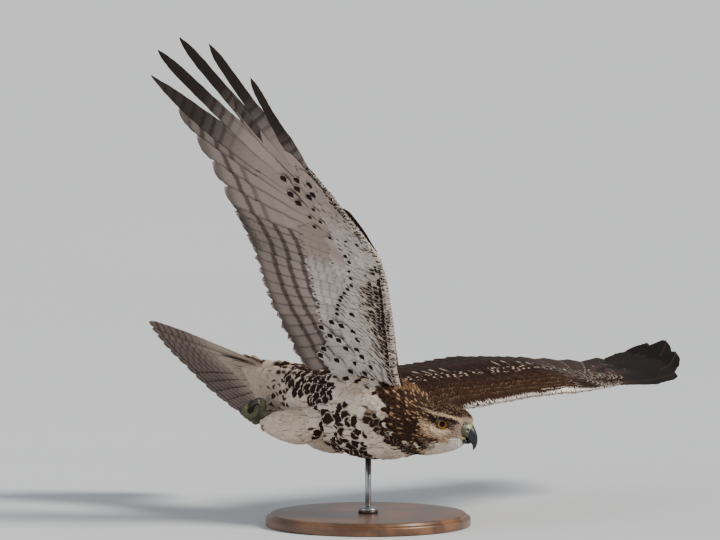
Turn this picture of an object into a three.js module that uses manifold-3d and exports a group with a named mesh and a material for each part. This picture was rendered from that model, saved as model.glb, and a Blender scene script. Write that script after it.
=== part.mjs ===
// A life-size model of a young red-tailed hawk in banking flight, on a plain display stand.
// Millimetres, +Z up. +X is the way the bird heads over the ground and +Y is its left.
// The origin is the middle of the underside of the stand's base.
import * as THREE from "three";
import { mergeVertices } from "three/addons/utils/BufferGeometryUtils.js";
import Module from "manifold-3d";

const wasm = await Module();
wasm.setup();

// Pose of the whole bird
const BANK = 31.25; // degrees, left side down
const NOSE_DOWN = 4.1; // degrees
const BODY_HEIGHT = 150; // torso centre above the floor
const BODY_SHIFT = [-5, -10]; // torso centre from the rod's axis, so that the whole balances
const GAP = 0.3; // left between neighbouring pieces
const VANE_THICKNESS = 0.7;
const BODY_CLEARANCE = 0.4; // left round torso and neck by the wings, legs and rod that meet them

// Torso and neck: stations along the body, measured from the torso centre
const TORSO_X = [-166, -140, -110, -70, -25, 20, 60, 92];
const TORSO_RISE = [20, 14, 8, 4, 0, 0, 2, 6];
const TORSO_HALF_WIDTH = [34, 38, 43, 50, 57, 60, 58, 51];
const TORSO_UP = [14, 27, 40, 51, 56, 57, 54, 46];
const TORSO_DOWN = [26, 36, 42, 49, 57, 59, 57, 52];
const BODY_SIDES = 20;
const NECK_REACH = 52; // how far each end of the neck keeps its own direction
const NECK_RISE = 4;
const NECK_NARROWING = [0.3, 0.2]; // at its start and its end

// Head: its own frame has its origin midway between the eyes
const HEAD_PLACE = [158, 8, 16];
const HEAD_TURN = 30.8; // degrees to the bird's left of its heading
const HEAD_NOSE_DOWN = 4.1;
const HEAD_A = [-24, -12, 0, 10, 18, 25, 30.5, 34.5, 36.2];
const HEAD_RISE = [-10, -6, -4, -4, -5, -6, -5.5, -2, 1];
const HEAD_HALF_WIDTH = [32, 29, 25.2, 22.4, 19, 15, 11.4, 7.6, 4];
const HEAD_UP = [30, 30.5, 30, 28.3, 26.5, 24, 19.5, 11, 5];
const HEAD_DOWN = [36, 38, 35.5, 32, 27, 19.5, 14, 8, 4];
const HEAD_SQUARENESS = 0.88;

const EYE_RADIUS = 8.4;
const EYE_PLACE = [-2, 14.5, 0];
const EYE_AXIS = [0.26, 0.965, 0.03];
const LID_RADIUS = 7.5;
const LID_ROUND = 1.25;
const LID_SUNK = 0.6; // share of the lid's roundness that lies behind the edge of the eyeball
const ORBIT_RADIUS = 16;
const ORBIT_PLACE = [2.5, 34.6, 0.5];
const ORBIT_STRETCH = [1.15, 1, 0.85];
const BROW_ROUTE = [[-11, 22, 7.5], [-3, 23.4, 9.6], [6, 21.8, 9.4], [14, 18, 7.4], [22, 13, 3.6]];
const BROW_GIRTH = [1.6, 3, 3.4, 2.8, 1.2];

// Bill: heights of its top and bottom line along its length, with half-widths
const BILL_TOP = [
  [27, 5], [33, 2.6], [37.6, -3], [41, -9.5], [42.8, -16], [42.8, -23], [40.8, -29], [38.2, -32.4],
];
const BILL_BOTTOM = [
  [24, -15.2], [29, -17], [31.2, -20], [33, -22.4], [34.8, -23.8], [36.6, -26], [37.2, -29.6], [37.6, -32.6],
];
const BILL_HALF_WIDTH = [10.2, 8.4, 6.8, 5.5, 4.3, 3, 1.7, 0.5];
const CERE_END = 1.5; // in stations of the bill
const CERE_SEAM = 0.06;
const BILL_SIDES = 12;
const LOWER_BILL_TOP = [[19, -16], [28.5, -17.7], [30.7, -20.8], [33, -23.1]];
const LOWER_BILL_BOTTOM = [[19, -24], [26, -25], [30, -25], [33, -24.3]];
const LOWER_BILL_HALF_WIDTH = [9, 6.6, 4.6, 2.2];
const NOSTRIL = [31, 7.2, -8.4];
const NOSTRIL_SIZE = [1.9, 2.6, 1.4];
const GAPE_BACK = [6, 21.5, -15.5];
const GAPE_FRONT = [27, 11.5, -16.6];
const GAPE_SLOT = [4, 6, 0.7]; // length past its ends, depth and height
const GAPE_SHIFT = [1, 1.6];

// Wings: u runs outward from the shoulder, v backward, both in the plane of the wing
const SHOULDER = [60, 40, 32];
const WING_LEAD_U = [-20, 20, 105, 173, 199, 246, 304, 382, 487, 560];
const WING_LEAD_V = [-30, -36, -64, -84, -87, -71, -45, -7, 10, 25];
const WING_TRAIL_U = [-20, 34, 85, 140, 220, 338, 433, 484, 560];
const WING_TRAIL_V = [118, 128, 135, 138, 129, 138, 152, 183, 190];
const CAMBER_U = [0, 200, 300, 420];
const CAMBER = [12, 11, 6, 2];
const ELBOW = [109, -7];
const WRIST = [192, -73];
const HAND_END = [296, -34];
const WRIST_CUT = [[203, -66], [292, 137]];
const CORE_U = [-45, 0, 50, 109, 160, 199, 250, 300];
const CORE_DEPTH = [15, 14, 11.5, 9, 7.5, 6.8, 4.6, 2.4];
const CORE_CHORD = [0.62, 0.6, 0.52, 0.45, 0.4, 0.36, 0.26, 0.14];
const RIGHT_WING = {
  side: -1, dihedral: 29, twist: 11, yaw: 0,
  humpU: [0, 560], hump: [0, 0], washU: [0, 560], wash: [0, 0],
  primaryTips: [
    [305, 136], [345, 139], [388, 146], [435, 157], [484, 183],
    [524, 153], [546, 107], [452, 58], [537, 60], [487, 10],
  ],
};
const LEFT_WING = {
  side: 1, dihedral: 32, twist: 0, yaw: 3,
  humpU: [0, 40, 130, 185, 230, 320, 420, 500, 545], hump: [4, 14, 23.5, 27.5, 24, 13.5, 4, 7, 28],
  washU: [0, 85, 130, 320, 420, 560], wash: [-10, -6, -4, -4, -2, 0],
  primaryTips: [
    [308, 134], [352, 133], [398, 134], [452, 134], [506, 134],
    [532, 122], [546, 100], [470, 62], [528, 62], [480, 12],
  ],
};
const SECONDARIES = 12;
const TERTIALS = 3;
const PRIMARY_HALF_WIDTH = [18, 18, 18, 18, 18, 17, 16, 15, 15, 12];
const FINGERS_FROM = 5; // primaries counted from the wrist; those beyond this one end in fingers
const VANE_TILT = 5.5; // degrees, each vane lies over its outer neighbour
const TIER_STEP = 4; // height between one tier and the next
const COVERTS = 8;
const CORE_SIDES = 8;
const CORE_FULLNESS = [0.72, 0.4]; // thickness at mid-chord, and how much more of it lies in front
const SECONDARY_HALF_WIDTH = 16.5;
const SECONDARY_TIPS = [26, 286]; // u of the innermost and the outermost tip
const TERTIAL_ROOT = [62, 6];
const TIP_STAGGER = 1.5;
const PRIMARY_ROOT = [204, -72];
const FINGER_BOW = 6;
const THUMB_REACHES = [40, 52, 62];
const BLOCK = [800, 900, 700]; // cuts the wing at the wrist

// Tiers of coverts: places of the first and last root and of the first and last tip
const INNERMOST_TIER = {
  from: [6, 14], to: [30, 10], tipFrom: [-2, 92], tipTo: [34, 104], tier: 1, halfWidth: 13, count: 3,
};
const GREATER_TIER = {
  from: [30, 8], to: [196, -66], tipFrom: [26, 84], tipTo: [246, 42], tier: 1, halfWidth: 15, count: COVERTS,
};
const MEDIAN_TIER = {
  from: [26, -8], to: [192, -74], tipFrom: [22, 48], tipTo: [228, -4],
  tier: 1.8, halfWidth: 15, count: COVERTS,
};
const HAND_TIER = {
  from: [206, -74], to: [292, -38], tipFrom: [254, 22], tipTo: [372, 0], tier: 0.8, halfWidth: 11, count: 7,
};

// Tail
const TAIL_PLACE = [-128, 0, 29];
const TAIL_ROLL = 7.5;
const TAIL_DOWN = 5.2;
const TAIL_SPREAD = 28;
const TAIL_FEATHERS = 12;
const TAIL_ROOT = 50;
const TAIL_LENGTH = 238;
const TAIL_HALF_WIDTH = 15.5;
const TAIL_STEP = 1.05; // each tail feather lies this much under its inner neighbour
const TAIL_COVERT_ROOT = 42;
const TAIL_COVERTS = [
  { spread: 20, length: 122, height: 5 },
  { spread: 19, length: 134, height: -8.6 },
];
const TAIL_COVERT_COUNT = 6;
const TAIL_COVERT_HALF_WIDTH = 13;
// The soft base of the tail: how far behind the torso, how much of the torso's height, and its widening
const TAIL_PAD_STEPS = [0, 14, 32, 52];
const TAIL_PAD_HEIGHTS = [1, 0.8, 0.5, 0.2];
const TAIL_PAD_WIDENING = 0.06;

// Legs, feet and claws
const LEGS = {
  right: {
    side: -1,
    thigh: [[-6, -30, -24], [-52, -37, -50], [-96, -36, -54], [-128, -34, -56]],
    girth: [22, 26, 18, 9.5],
    ankle: [-112, -33, -43],
    toeBase: [-146, -31, -42],
  },
  left: {
    side: 1,
    thigh: [[-10, 26, -14], [-60, 36, -30], [-98, 34, -36], [-124, 33, -37]],
    girth: [20, 24, 17, 9.5],
    ankle: [-120, 32, -37],
    toeBase: [-149, 30, -35],
  },
};
const TARSUS_GIRTHS = [6, 5, 6.4];
const TARSUS_SUNK = 6; // how far the bare leg starts inside the feathered one
const PALM_RADIUS = 9.2;
const PALM_STRETCH = [0.9, 1.25, 0.8];
const TOE_GIRTH = 4.3;
const FIST_RADIUS = 11.5;
const FIST_FORWARD = 0.75; // share of the radius from the toes' base to the middle of the fist
const TOE_SPLAY = [-9.2, 0, 9.2];
const TOE_SWEEP = [-165, 25];
const HALLUX_SWEEP = [178, 112];
const CLAW_SWEEP = 78;
const HALLUX_CLAW_SWEEP = 52;
const HALLUX_ASIDE = 4.6;
const HALLUX_OUT = 5.5; // how much wider than the front toes it bends
const CLAW_SEAT = 1.5;
const CLAW_GIRTH = 2.5;
const HALLUX_CLAW_GIRTH = 2.8;
const CLAW_CURL = 1.6; // how far its point turns in from the round of the fist
const LIMB_STEPS = 4; // stretches along each toe and claw

// Stand
const BASE_RADIUS = 135;
const BASE_THICKNESS = 16;
const BASE_BEVEL = 3;
const COLLAR_RADIUS = 13;
const COLLAR_HEIGHT = 9;
const COLLAR_BEVEL = 1.5;
const ROD_RADIUS = 4;

const rad = THREE.MathUtils.degToRad;
const vec = (a) => new THREE.Vector3(a[0], a[1], a[2]);

// Value at x on straight lines between stations
function along(x, xs, ys) {
  if (x <= xs[0]) return ys[0];
  for (let i = 1; i < xs.length; i++)
    if (x <= xs[i]) return THREE.MathUtils.mapLinear(x, xs[i - 1], xs[i], ys[i - 1], ys[i]);
  return ys[ys.length - 1];
}

// A closed mesh from points and triangles, turned so that its faces point out
function closedMesh(points, faces) {
  let volume = 0;
  for (const [a, b, c] of faces) volume += points[a].dot(points[b].clone().cross(points[c]));
  const geometry = new THREE.BufferGeometry().setFromPoints(points);
  geometry.setIndex(faces.flatMap(([a, b, c]) => (volume < 0 ? [a, c, b] : [a, b, c])));
  return geometry;
}

// A skin over rings of equal count, closed by a flat fan at each end
function loft(rings) {
  const n = rings[0].length;
  const points = rings.flat();
  const faces = [];
  for (let i = 0; i + 1 < rings.length; i++)
    for (let k = 0; k < n; k++) {
      const a = i * n + k;
      const b = i * n + ((k + 1) % n);
      faces.push([a, b, b + n], [a, b + n, a + n]);
    }
  for (const [ring, start] of [[rings[0], 0], [rings[rings.length - 1], (rings.length - 1) * n]]) {
    const middle = points.length;
    points.push(middleOf(ring));
    for (let k = 0; k < n; k++) {
      const a = start + k;
      const b = start + ((k + 1) % n);
      faces.push(start ? [middle, a, b] : [middle, b, a]);
    }
  }
  return closedMesh(points, faces);
}

// A round body along points, with its own radius at each
function sweep(centres, radii, sides) {
  const points = centres.map(vec);
  let across = new THREE.Vector3(0, 1, 0.01);
  const rings = points.map((p, i) => {
    const from = points[Math.max(i - 1, 0)];
    const to = points[Math.min(i + 1, points.length - 1)];
    const ahead = to.clone().sub(from).normalize();
    across = across.clone().addScaledVector(ahead, -across.dot(ahead)).normalize();
    const other = ahead.clone().cross(across);
    return Array.from({ length: sides }, (_, k) => {
      const t = (2 * Math.PI * k) / sides;
      return p.clone()
        .addScaledVector(across, radii[i] * Math.cos(t))
        .addScaledVector(other, radii[i] * Math.sin(t));
    });
  });
  return loft(rings);
}

// Points on a smooth curve through a few given ones, with their radii
function smoothSweep(centres, radii, steps, sides) {
  const curve = new THREE.CatmullRomCurve3(centres.map(vec), false, "centripetal");
  const last = centres.length - 1;
  const stations = Array.from({ length: last + 1 }, (_, i) => i / last);
  const points = [];
  const girths = [];
  for (let i = 0; i <= steps; i++) {
    points.push(curve.getPoint(i / steps).toArray());
    girths.push(along(i / steps, stations, radii));
  }
  return sweep(points, girths, sides);
}

function solid(geometry) {
  const bare = geometry.clone();
  bare.deleteAttribute("normal");
  bare.deleteAttribute("uv");
  const merged = mergeVertices(bare, 1e-4);
  return new wasm.Manifold(
    new wasm.Mesh({
      numProp: 3,
      vertProperties: new Float32Array(merged.attributes.position.array),
      triVerts: new Uint32Array(merged.index.array),
    }),
  );
}

function geometryOf(body) {
  const mesh = body.getMesh();
  const places = new Float32Array(mesh.numVert * 3);
  for (let i = 0; i < mesh.numVert; i++)
    for (let k = 0; k < 3; k++) places[i * 3 + k] = mesh.vertProperties[i * mesh.numProp + k];
  const geometry = new THREE.BufferGeometry();
  geometry.setAttribute("position", new THREE.BufferAttribute(places, 3));
  geometry.setIndex(Array.from(mesh.triVerts));
  return geometry;
}

// The largest closed surface of a body, without hollows or scraps
function largest(body) {
  return body.decompose().reduce((best, one) => (one.volume() > best.volume() ? one : best));
}

function joined(geometries) {
  return geometries.map(solid).reduce((sum, one) => sum.add(one));
}

// A ring of the torso, egg-shaped, grown by a little where a neighbour is cut by it
function torsoRing(x, grow = 0) {
  const rise = along(x, TORSO_X, TORSO_RISE);
  const wide = along(x, TORSO_X, TORSO_HALF_WIDTH) + grow;
  const up = along(x, TORSO_X, TORSO_UP) + grow;
  const down = along(x, TORSO_X, TORSO_DOWN) + grow;
  return Array.from({ length: BODY_SIDES }, (_, k) => {
    const t = (2 * Math.PI * k) / BODY_SIDES;
    const s = Math.sin(t);
    return new THREE.Vector3(x, wide * Math.cos(t), rise + (s > 0 ? up : down) * s);
  });
}

function torsoShape(grow = 0) {
  return loft(TORSO_X.map((x) => torsoRing(x, grow)));
}

const bird = new THREE.Group();
bird.position.set(BODY_SHIFT[0], BODY_SHIFT[1], BODY_HEIGHT);
bird.rotation.set(-rad(BANK), rad(NOSE_DOWN), 0, "YXZ");
bird.updateMatrixWorld(true);

// The head's frame, given in the bird's own frame
function headFrame() {
  const turned = new THREE.Euler(0, rad(HEAD_NOSE_DOWN), rad(HEAD_TURN), "ZYX");
  const turn = new THREE.Quaternion().setFromEuler(turned);
  turn.premultiply(bird.quaternion.clone().invert());
  return new THREE.Matrix4().compose(vec(HEAD_PLACE), turn, new THREE.Vector3(1, 1, 1));
}
const HEAD_FRAME = headFrame();

function power(value, exponent) {
  return Math.sign(value) * Math.abs(value) ** exponent;
}

function headRing(a, grow) {
  const rise = along(a, HEAD_A, HEAD_RISE);
  const wide = along(a, HEAD_A, HEAD_HALF_WIDTH) + grow;
  const up = along(a, HEAD_A, HEAD_UP) + grow;
  const down = along(a, HEAD_A, HEAD_DOWN) + grow;
  return Array.from({ length: BODY_SIDES }, (_, k) => {
    const t = (2 * Math.PI * k) / BODY_SIDES;
    const s = power(Math.sin(t), HEAD_SQUARENESS);
    const c = power(Math.cos(t), HEAD_SQUARENESS);
    return new THREE.Vector3(a, wide * c, rise + (s > 0 ? up : down) * s);
  });
}

function middleOf(ring) {
  return ring.reduce((sum, p) => sum.add(p), new THREE.Vector3()).divideScalar(ring.length);
}

// The neck turns from the torso's front ring to the ring at the back of the head
function neckShape(grow = 0, steps = 5) {
  const start = torsoRing(TORSO_X[TORSO_X.length - 1], grow);
  start.forEach((p) => (p.x += grow ? -GAP : GAP));
  const end = headRing(HEAD_A[0], grow);
  end.forEach((p) => {
    p.x += grow ? GAP : -GAP;
    p.applyMatrix4(HEAD_FRAME);
  });
  const startMiddle = middleOf(start);
  const endMiddle = middleOf(end);
  const facing = new THREE.Vector3(1, 0, 0).transformDirection(HEAD_FRAME);
  const ahead = new THREE.Vector3(NECK_REACH, 0, NECK_RISE);
  const [narrowFirst, narrowLast] = NECK_NARROWING;
  const rings = [];
  for (let i = 0; i <= steps; i++) {
    const t = i / steps;
    rings.push(start.map((p, k) => {
      const leave = startMiddle.clone().sub(p).multiplyScalar(narrowFirst).add(ahead);
      const arrive = endMiddle.clone().sub(end[k]).multiplyScalar(narrowLast);
      arrive.addScaledVector(facing, NECK_REACH);
      return p.clone().multiplyScalar(2 * t ** 3 - 3 * t ** 2 + 1)
        .addScaledVector(leave, t ** 3 - 2 * t ** 2 + t)
        .addScaledVector(end[k], 3 * t ** 2 - 2 * t ** 3)
        .addScaledVector(arrive, t ** 3 - t ** 2);
    }));
  }
  return loft(rings);
}

function sphere(radius, place, stretch = [1, 1, 1], sides = 14) {
  const ball = new THREE.SphereGeometry(radius, sides, Math.round(sides * 0.7));
  ball.scale(stretch[0], stretch[1], stretch[2]);
  ball.translate(place[0], place[1], place[2]);
  return ball;
}

// The ring of the lids round an eye, square to the way that the eye looks
function lids(side) {
  const ring = new THREE.TorusGeometry(LID_RADIUS, LID_ROUND, 6, 16);
  const axis = vec(EYE_AXIS).multiply(new THREE.Vector3(1, side, 1)).normalize();
  const turn = new THREE.Quaternion().setFromUnitVectors(new THREE.Vector3(0, 0, 1), axis);
  ring.applyQuaternion(turn);
  const forward = Math.sqrt(EYE_RADIUS ** 2 - (LID_RADIUS - LID_ROUND) ** 2) - LID_ROUND * LID_SUNK;
  const place = vec(EYE_PLACE).multiply(new THREE.Vector3(1, side, 1)).addScaledVector(axis, forward);
  ring.translate(place.x, place.y, place.z);
  return ring;
}

// The bony ridge that shades the eye
function brow(side) {
  return sweep(BROW_ROUTE.map(([a, w, b]) => [a, w * side, b]), BROW_GIRTH, 8);
}

// The line of the mouth behind the bill, a thin slot along the cheek
function gapeSlot(side) {
  const back = vec(GAPE_BACK);
  const front = vec(GAPE_FRONT);
  const reach = front.clone().sub(back);
  const [past, deep, high] = GAPE_SLOT;
  const slot = new THREE.BoxGeometry(reach.length() + past, deep, high);
  slot.rotateY(-Math.asin(reach.z / reach.length()));
  slot.rotateZ(Math.atan2(reach.y, reach.x));
  const middle = back.add(front).multiplyScalar(0.5);
  slot.translate(middle.x + GAPE_SHIFT[0], middle.y + GAPE_SHIFT[1], middle.z);
  if (side < 0) slot.scale(1, -1, 1);
  return side < 0 ? turnedOut(slot) : slot;
}

// Mirroring turns each face round, and this turns it back
function turnedOut(geometry) {
  const index = geometry.index.array;
  for (let i = 0; i < index.length; i += 3) [index[i + 1], index[i + 2]] = [index[i + 2], index[i + 1]];
  return geometry;
}

// A place at a station along a line of points in the side view
function placeOn(line, station) {
  const i = Math.min(Math.floor(station), line.length - 2);
  const [from, to] = [line[i], line[i + 1]].map((p) => new THREE.Vector2(p[0], p[1]));
  return from.lerp(to, station - i);
}

// Part of the bill between its top and bottom line, from one station to another
function billPart(top, bottom, halfWidths, from, to, grow = 0) {
  const stations = [from];
  for (let i = Math.floor(from) + 1; i < to; i++) stations.push(i);
  stations.push(to);
  const places = top.map((_, i) => i);
  return loft(stations.map((s) => {
    const high = placeOn(top, s);
    const low = placeOn(bottom, s);
    const wide = along(s, places, halfWidths) + grow;
    const tall = high.distanceTo(low) / 2 + grow;
    const middle = high.clone().add(low).multiplyScalar(0.5);
    const upward = high.clone().sub(low).normalize();
    return Array.from({ length: BILL_SIDES }, (_, k) => {
      const t = (2 * Math.PI * k) / BILL_SIDES;
      const rise = tall * Math.sin(t);
      return new THREE.Vector3(middle.x + upward.x * rise, wide * Math.cos(t), middle.y + upward.y * rise);
    });
  }));
}

function headParts() {
  const lower = (grow) => billPart(
    LOWER_BILL_TOP, LOWER_BILL_BOTTOM, LOWER_BILL_HALF_WIDTH, 0, LOWER_BILL_TOP.length - 1, grow,
  );
  const tip = BILL_TOP.length - 1;
  let head = solid(loft(HEAD_A.map((a) => headRing(a, 0))));
  for (const side of [-1, 1]) {
    const orbitPlace = [ORBIT_PLACE[0], side * ORBIT_PLACE[1], ORBIT_PLACE[2]];
    const orbit = sphere(ORBIT_RADIUS, orbitPlace, ORBIT_STRETCH, 12);
    head = head.subtract(solid(orbit)).add(solid(lids(side))).add(solid(brow(side)));
  }
  for (const side of [-1, 1]) {
    const eyePlace = [EYE_PLACE[0], side * EYE_PLACE[1], EYE_PLACE[2]];
    head = head.subtract(solid(sphere(EYE_RADIUS + GAP, eyePlace)));
    head = head.subtract(solid(gapeSlot(side)));
  }
  const wholeUpper = solid(billPart(BILL_TOP, BILL_BOTTOM, BILL_HALF_WIDTH, 0, tip, GAP));
  head = head.subtract(wholeUpper).subtract(solid(lower(GAP)));
  let cereBody = solid(billPart(BILL_TOP, BILL_BOTTOM, BILL_HALF_WIDTH, 0, CERE_END));
  for (const side of [-1, 1]) {
    const pit = sphere(1, [NOSTRIL[0], side * NOSTRIL[1], NOSTRIL[2]], NOSTRIL_SIZE, 8);
    cereBody = cereBody.subtract(solid(pit));
  }
  const upper = billPart(BILL_TOP, BILL_BOTTOM, BILL_HALF_WIDTH, CERE_END + CERE_SEAM, tip);
  return {
    head: largest(head),
    cere: largest(cereBody),
    bill_upper: solid(upper),
    bill_lower: largest(solid(lower(0)).subtract(wholeUpper)),
    eye_left: solid(sphere(EYE_RADIUS, EYE_PLACE)),
    eye_right: solid(sphere(EYE_RADIUS, [EYE_PLACE[0], -EYE_PLACE[1], EYE_PLACE[2]])),
  };
}

// The plane of a wing: unit directions outward, backward and up from it
function wingFrame({ side, dihedral, twist, yaw }) {
  const d = rad(dihedral);
  const t = rad(twist);
  const y = rad(yaw);
  const out = new THREE.Vector3(0, Math.cos(d), Math.sin(d));
  const up = new THREE.Vector3(0, -Math.sin(d), Math.cos(d));
  const back = new THREE.Vector3(-1, 0, 0);
  const back2 = back.clone().multiplyScalar(Math.cos(t)).addScaledVector(up, -Math.sin(t));
  const up2 = up.clone().multiplyScalar(Math.cos(t)).addScaledVector(back, Math.sin(t));
  const out3 = out.clone().multiplyScalar(Math.cos(y)).addScaledVector(back2, Math.sin(y));
  const back3 = back2.clone().multiplyScalar(Math.cos(y)).addScaledVector(out, -Math.sin(y));
  const mirror = new THREE.Vector3(1, side, 1);
  return { out: out3.multiply(mirror), back: back3.multiply(mirror), up: up2.multiply(mirror) };
}

// Height of the wing's middle surface over its plane
function wingHeight(wing, u, v) {
  const lead = along(u, WING_LEAD_U, WING_LEAD_V);
  const trail = along(u, WING_TRAIL_U, WING_TRAIL_V);
  const q = THREE.MathUtils.clamp((v - lead) / (trail - lead), 0, 1);
  const arch = along(u, CAMBER_U, CAMBER) * Math.sin(Math.PI * q ** 0.75);
  return arch + along(u, wing.humpU, wing.hump) - v * Math.tan(rad(along(u, wing.washU, wing.wash)));
}

function wingPoint(wing, frame, u, v, height) {
  const place = vec(SHOULDER).multiply(new THREE.Vector3(1, wing.side, 1));
  return place.addScaledVector(frame.out, u).addScaledVector(frame.back, v)
    .addScaledVector(frame.up, wingHeight(wing, u, v) + height);
}

// The fleshy front of the wing, thick at the leading edge and thin where the feathers leave it
function wingCore(wing, frame) {
  return loft(CORE_U.map((u, i) => {
    const lead = along(u, WING_LEAD_U, WING_LEAD_V);
    const chord = along(u, WING_TRAIL_U, WING_TRAIL_V) - lead;
    const half = (chord * CORE_CHORD[i]) / 2;
    return Array.from({ length: CORE_SIDES }, (_, k) => {
      const t = (2 * Math.PI * k) / CORE_SIDES;
      const fullness = CORE_FULLNESS[0] - CORE_FULLNESS[1] * Math.cos(t);
      const height = CORE_DEPTH[i] * fullness * Math.sin(t);
      return wingPoint(wing, frame, u, lead + half * (1 + Math.cos(t)), height);
    });
  }));
}

// Outline of a feather: share of its length and half-width at that place
const ROUND_TIP = [[0, 0.25], [0.35, 0.9], [0.7, 1], [0.94, 0.72], [1, 0.22]];
const FINGER_TIP = [[0, 0.25], [0.45, 1], [0.64, 0.62], [0.9, 0.5], [1, 0.12]];
const SHORT_TIP = [[0, 0.3], [0.55, 1], [0.88, 0.8], [1, 0.25]];
const STUB_TIP = [[0, 0.35], [0.7, 1], [1, 0.4]];

// A thin curved feather vane. place(u, v, height) gives a point of the surface it lies on.
// Both faces are split into triangles the same way, so they never cross.
function vane(place, { root, tip, halfWidth, outline, bow = 0, height = 0, tilt = 0, droop = 0 }) {
  const from = new THREE.Vector2(root[0], root[1]);
  const reach = new THREE.Vector2(tip[0], tip[1]).sub(from);
  const across = new THREE.Vector2(-reach.y, reach.x).normalize();
  const points = [];
  for (const [share, width] of outline) {
    const arch = 4 * bow * share * (1 - share);
    const middle = from.clone().addScaledVector(reach, share).addScaledVector(across, arch);
    const half = halfWidth * width;
    const rise = height + droop * share * share;
    for (const [s, face] of [[-1, 1], [1, 1], [1, -1], [-1, -1]]) {
      const p = middle.clone().addScaledVector(across, s * half);
      points.push(place(p.x, p.y, rise + s * half * Math.tan(rad(tilt)) + (face * VANE_THICKNESS) / 2));
    }
  }
  const faces = [[0, 1, 2], [0, 2, 3]];
  const last = (outline.length - 1) * 4;
  faces.push([last, last + 2, last + 1], [last, last + 3, last + 2]);
  for (let i = 0; i < last; i += 4) {
    faces.push([i, i + 4, i + 5], [i, i + 5, i + 1]);
    faces.push([i + 3, i + 2, i + 6], [i + 3, i + 6, i + 7]);
    faces.push([i + 1, i + 5, i + 6], [i + 1, i + 6, i + 2]);
    faces.push([i, i + 3, i + 7], [i, i + 7, i + 4]);
  }
  return closedMesh(points, faces);
}

function mix(a, b, t) {
  return a.map((value, i) => value + (b[i] - value) * t);
}

// Secondaries and tertials along the forearm, with their coverts above and below
function armFeathers(place) {
  const count = SECONDARIES + TERTIALS;
  const pieces = Array.from({ length: count }, (_, i) => {
    const outer = (i - TERTIALS) / (SECONDARIES - 0.6);
    const root = i < TERTIALS ? mix(TERTIAL_ROOT, ELBOW, i / TERTIALS) : mix(ELBOW, WRIST, outer);
    const tipU = THREE.MathUtils.lerp(SECONDARY_TIPS[0], SECONDARY_TIPS[1], i / (count - 1));
    const tip = [tipU, along(tipU, WING_TRAIL_U, WING_TRAIL_V) + (i % 2) * TIP_STAGGER];
    const shape = { halfWidth: SECONDARY_HALF_WIDTH, outline: ROUND_TIP, bow: 3, tilt: VANE_TILT };
    return vane(place, { root, tip, ...shape });
  });
  for (const face of [1, -1]) {
    pieces.push(...coverts(place, INNERMOST_TIER, SHORT_TIP, face));
    pieces.push(...coverts(place, GREATER_TIER, SHORT_TIP, face));
    pieces.push(...coverts(place, MEDIAN_TIER, STUB_TIP, face));
  }
  return pieces;
}

// One tier of coverts over or under the flight feathers
function coverts(place, { from, to, tipFrom, tipTo, tier, halfWidth, count }, outline, face) {
  return Array.from({ length: count }, (_, i) => {
    const t = i / (count - 1);
    return vane(place, {
      root: mix(from, to, t), tip: mix(tipFrom, tipTo, t), halfWidth, outline,
      height: face * tier * TIER_STEP, tilt: VANE_TILT,
    });
  });
}

// Primaries along the hand, their coverts above and below, and the small feathers of the thumb
function handFeathers(place, tips) {
  const pieces = tips.map((tip, i) => {
    const fingered = i >= FINGERS_FROM;
    return vane(place, {
      root: mix(PRIMARY_ROOT, HAND_END, i / (tips.length - 1)), tip,
      halfWidth: PRIMARY_HALF_WIDTH[i], outline: fingered ? FINGER_TIP : ROUND_TIP,
      bow: fingered ? FINGER_BOW : 1, tilt: VANE_TILT,
    });
  });
  for (const face of [1, -1]) pieces.push(...coverts(place, HAND_TIER, STUB_TIP, face));
  for (const [i, reach] of THUMB_REACHES.entries())
    pieces.push(vane(place, {
      root: [206 + 2 * i, -74 - 2 * i], tip: [210 + reach, -72 + reach * 0.38 - i * 3],
      halfWidth: 7, outline: STUB_TIP, height: TIER_STEP * (1.7 - 0.3 * i), tilt: VANE_TILT,
    }));
  return pieces;
}

// A large block with one face on the cut through the wrist, on the outer or the inner side of it
function wristBlock(wing, frame, sign) {
  const [near, far] = WRIST_CUT.map((p) => new THREE.Vector2(p[0], p[1]));
  const line = far.clone().sub(near).normalize();
  const outward = new THREE.Vector2(line.y, -line.x);
  const toSpace = (p) => frame.out.clone().multiplyScalar(p.x).addScaledVector(frame.back, p.y);
  const basis = new THREE.Matrix4().makeBasis(toSpace(outward), toSpace(line), frame.up);
  const place = vec(SHOULDER).multiply(new THREE.Vector3(1, wing.side, 1));
  place.add(toSpace(near.clone().addScaledVector(outward, (sign * (BLOCK[0] + GAP)) / 2)));
  const block = new THREE.BoxGeometry(...BLOCK);
  block.applyMatrix4(basis.setPosition(place));
  return wing.side < 0 ? turnedOut(block) : block;
}

function wingParts(wing, body) {
  const frame = wingFrame(wing);
  const place = (u, v, height) => wingPoint(wing, frame, u, v, height);
  const core = wingCore(wing, frame);
  const arm = joined([core, ...armFeathers(place)]);
  const hand = joined([core, ...handFeathers(place, wing.primaryTips)]);
  return {
    arm: largest(arm.intersect(solid(wristBlock(wing, frame, -1))).subtract(body)),
    hand: largest(hand.intersect(solid(wristBlock(wing, frame, 1)))),
  };
}

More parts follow.
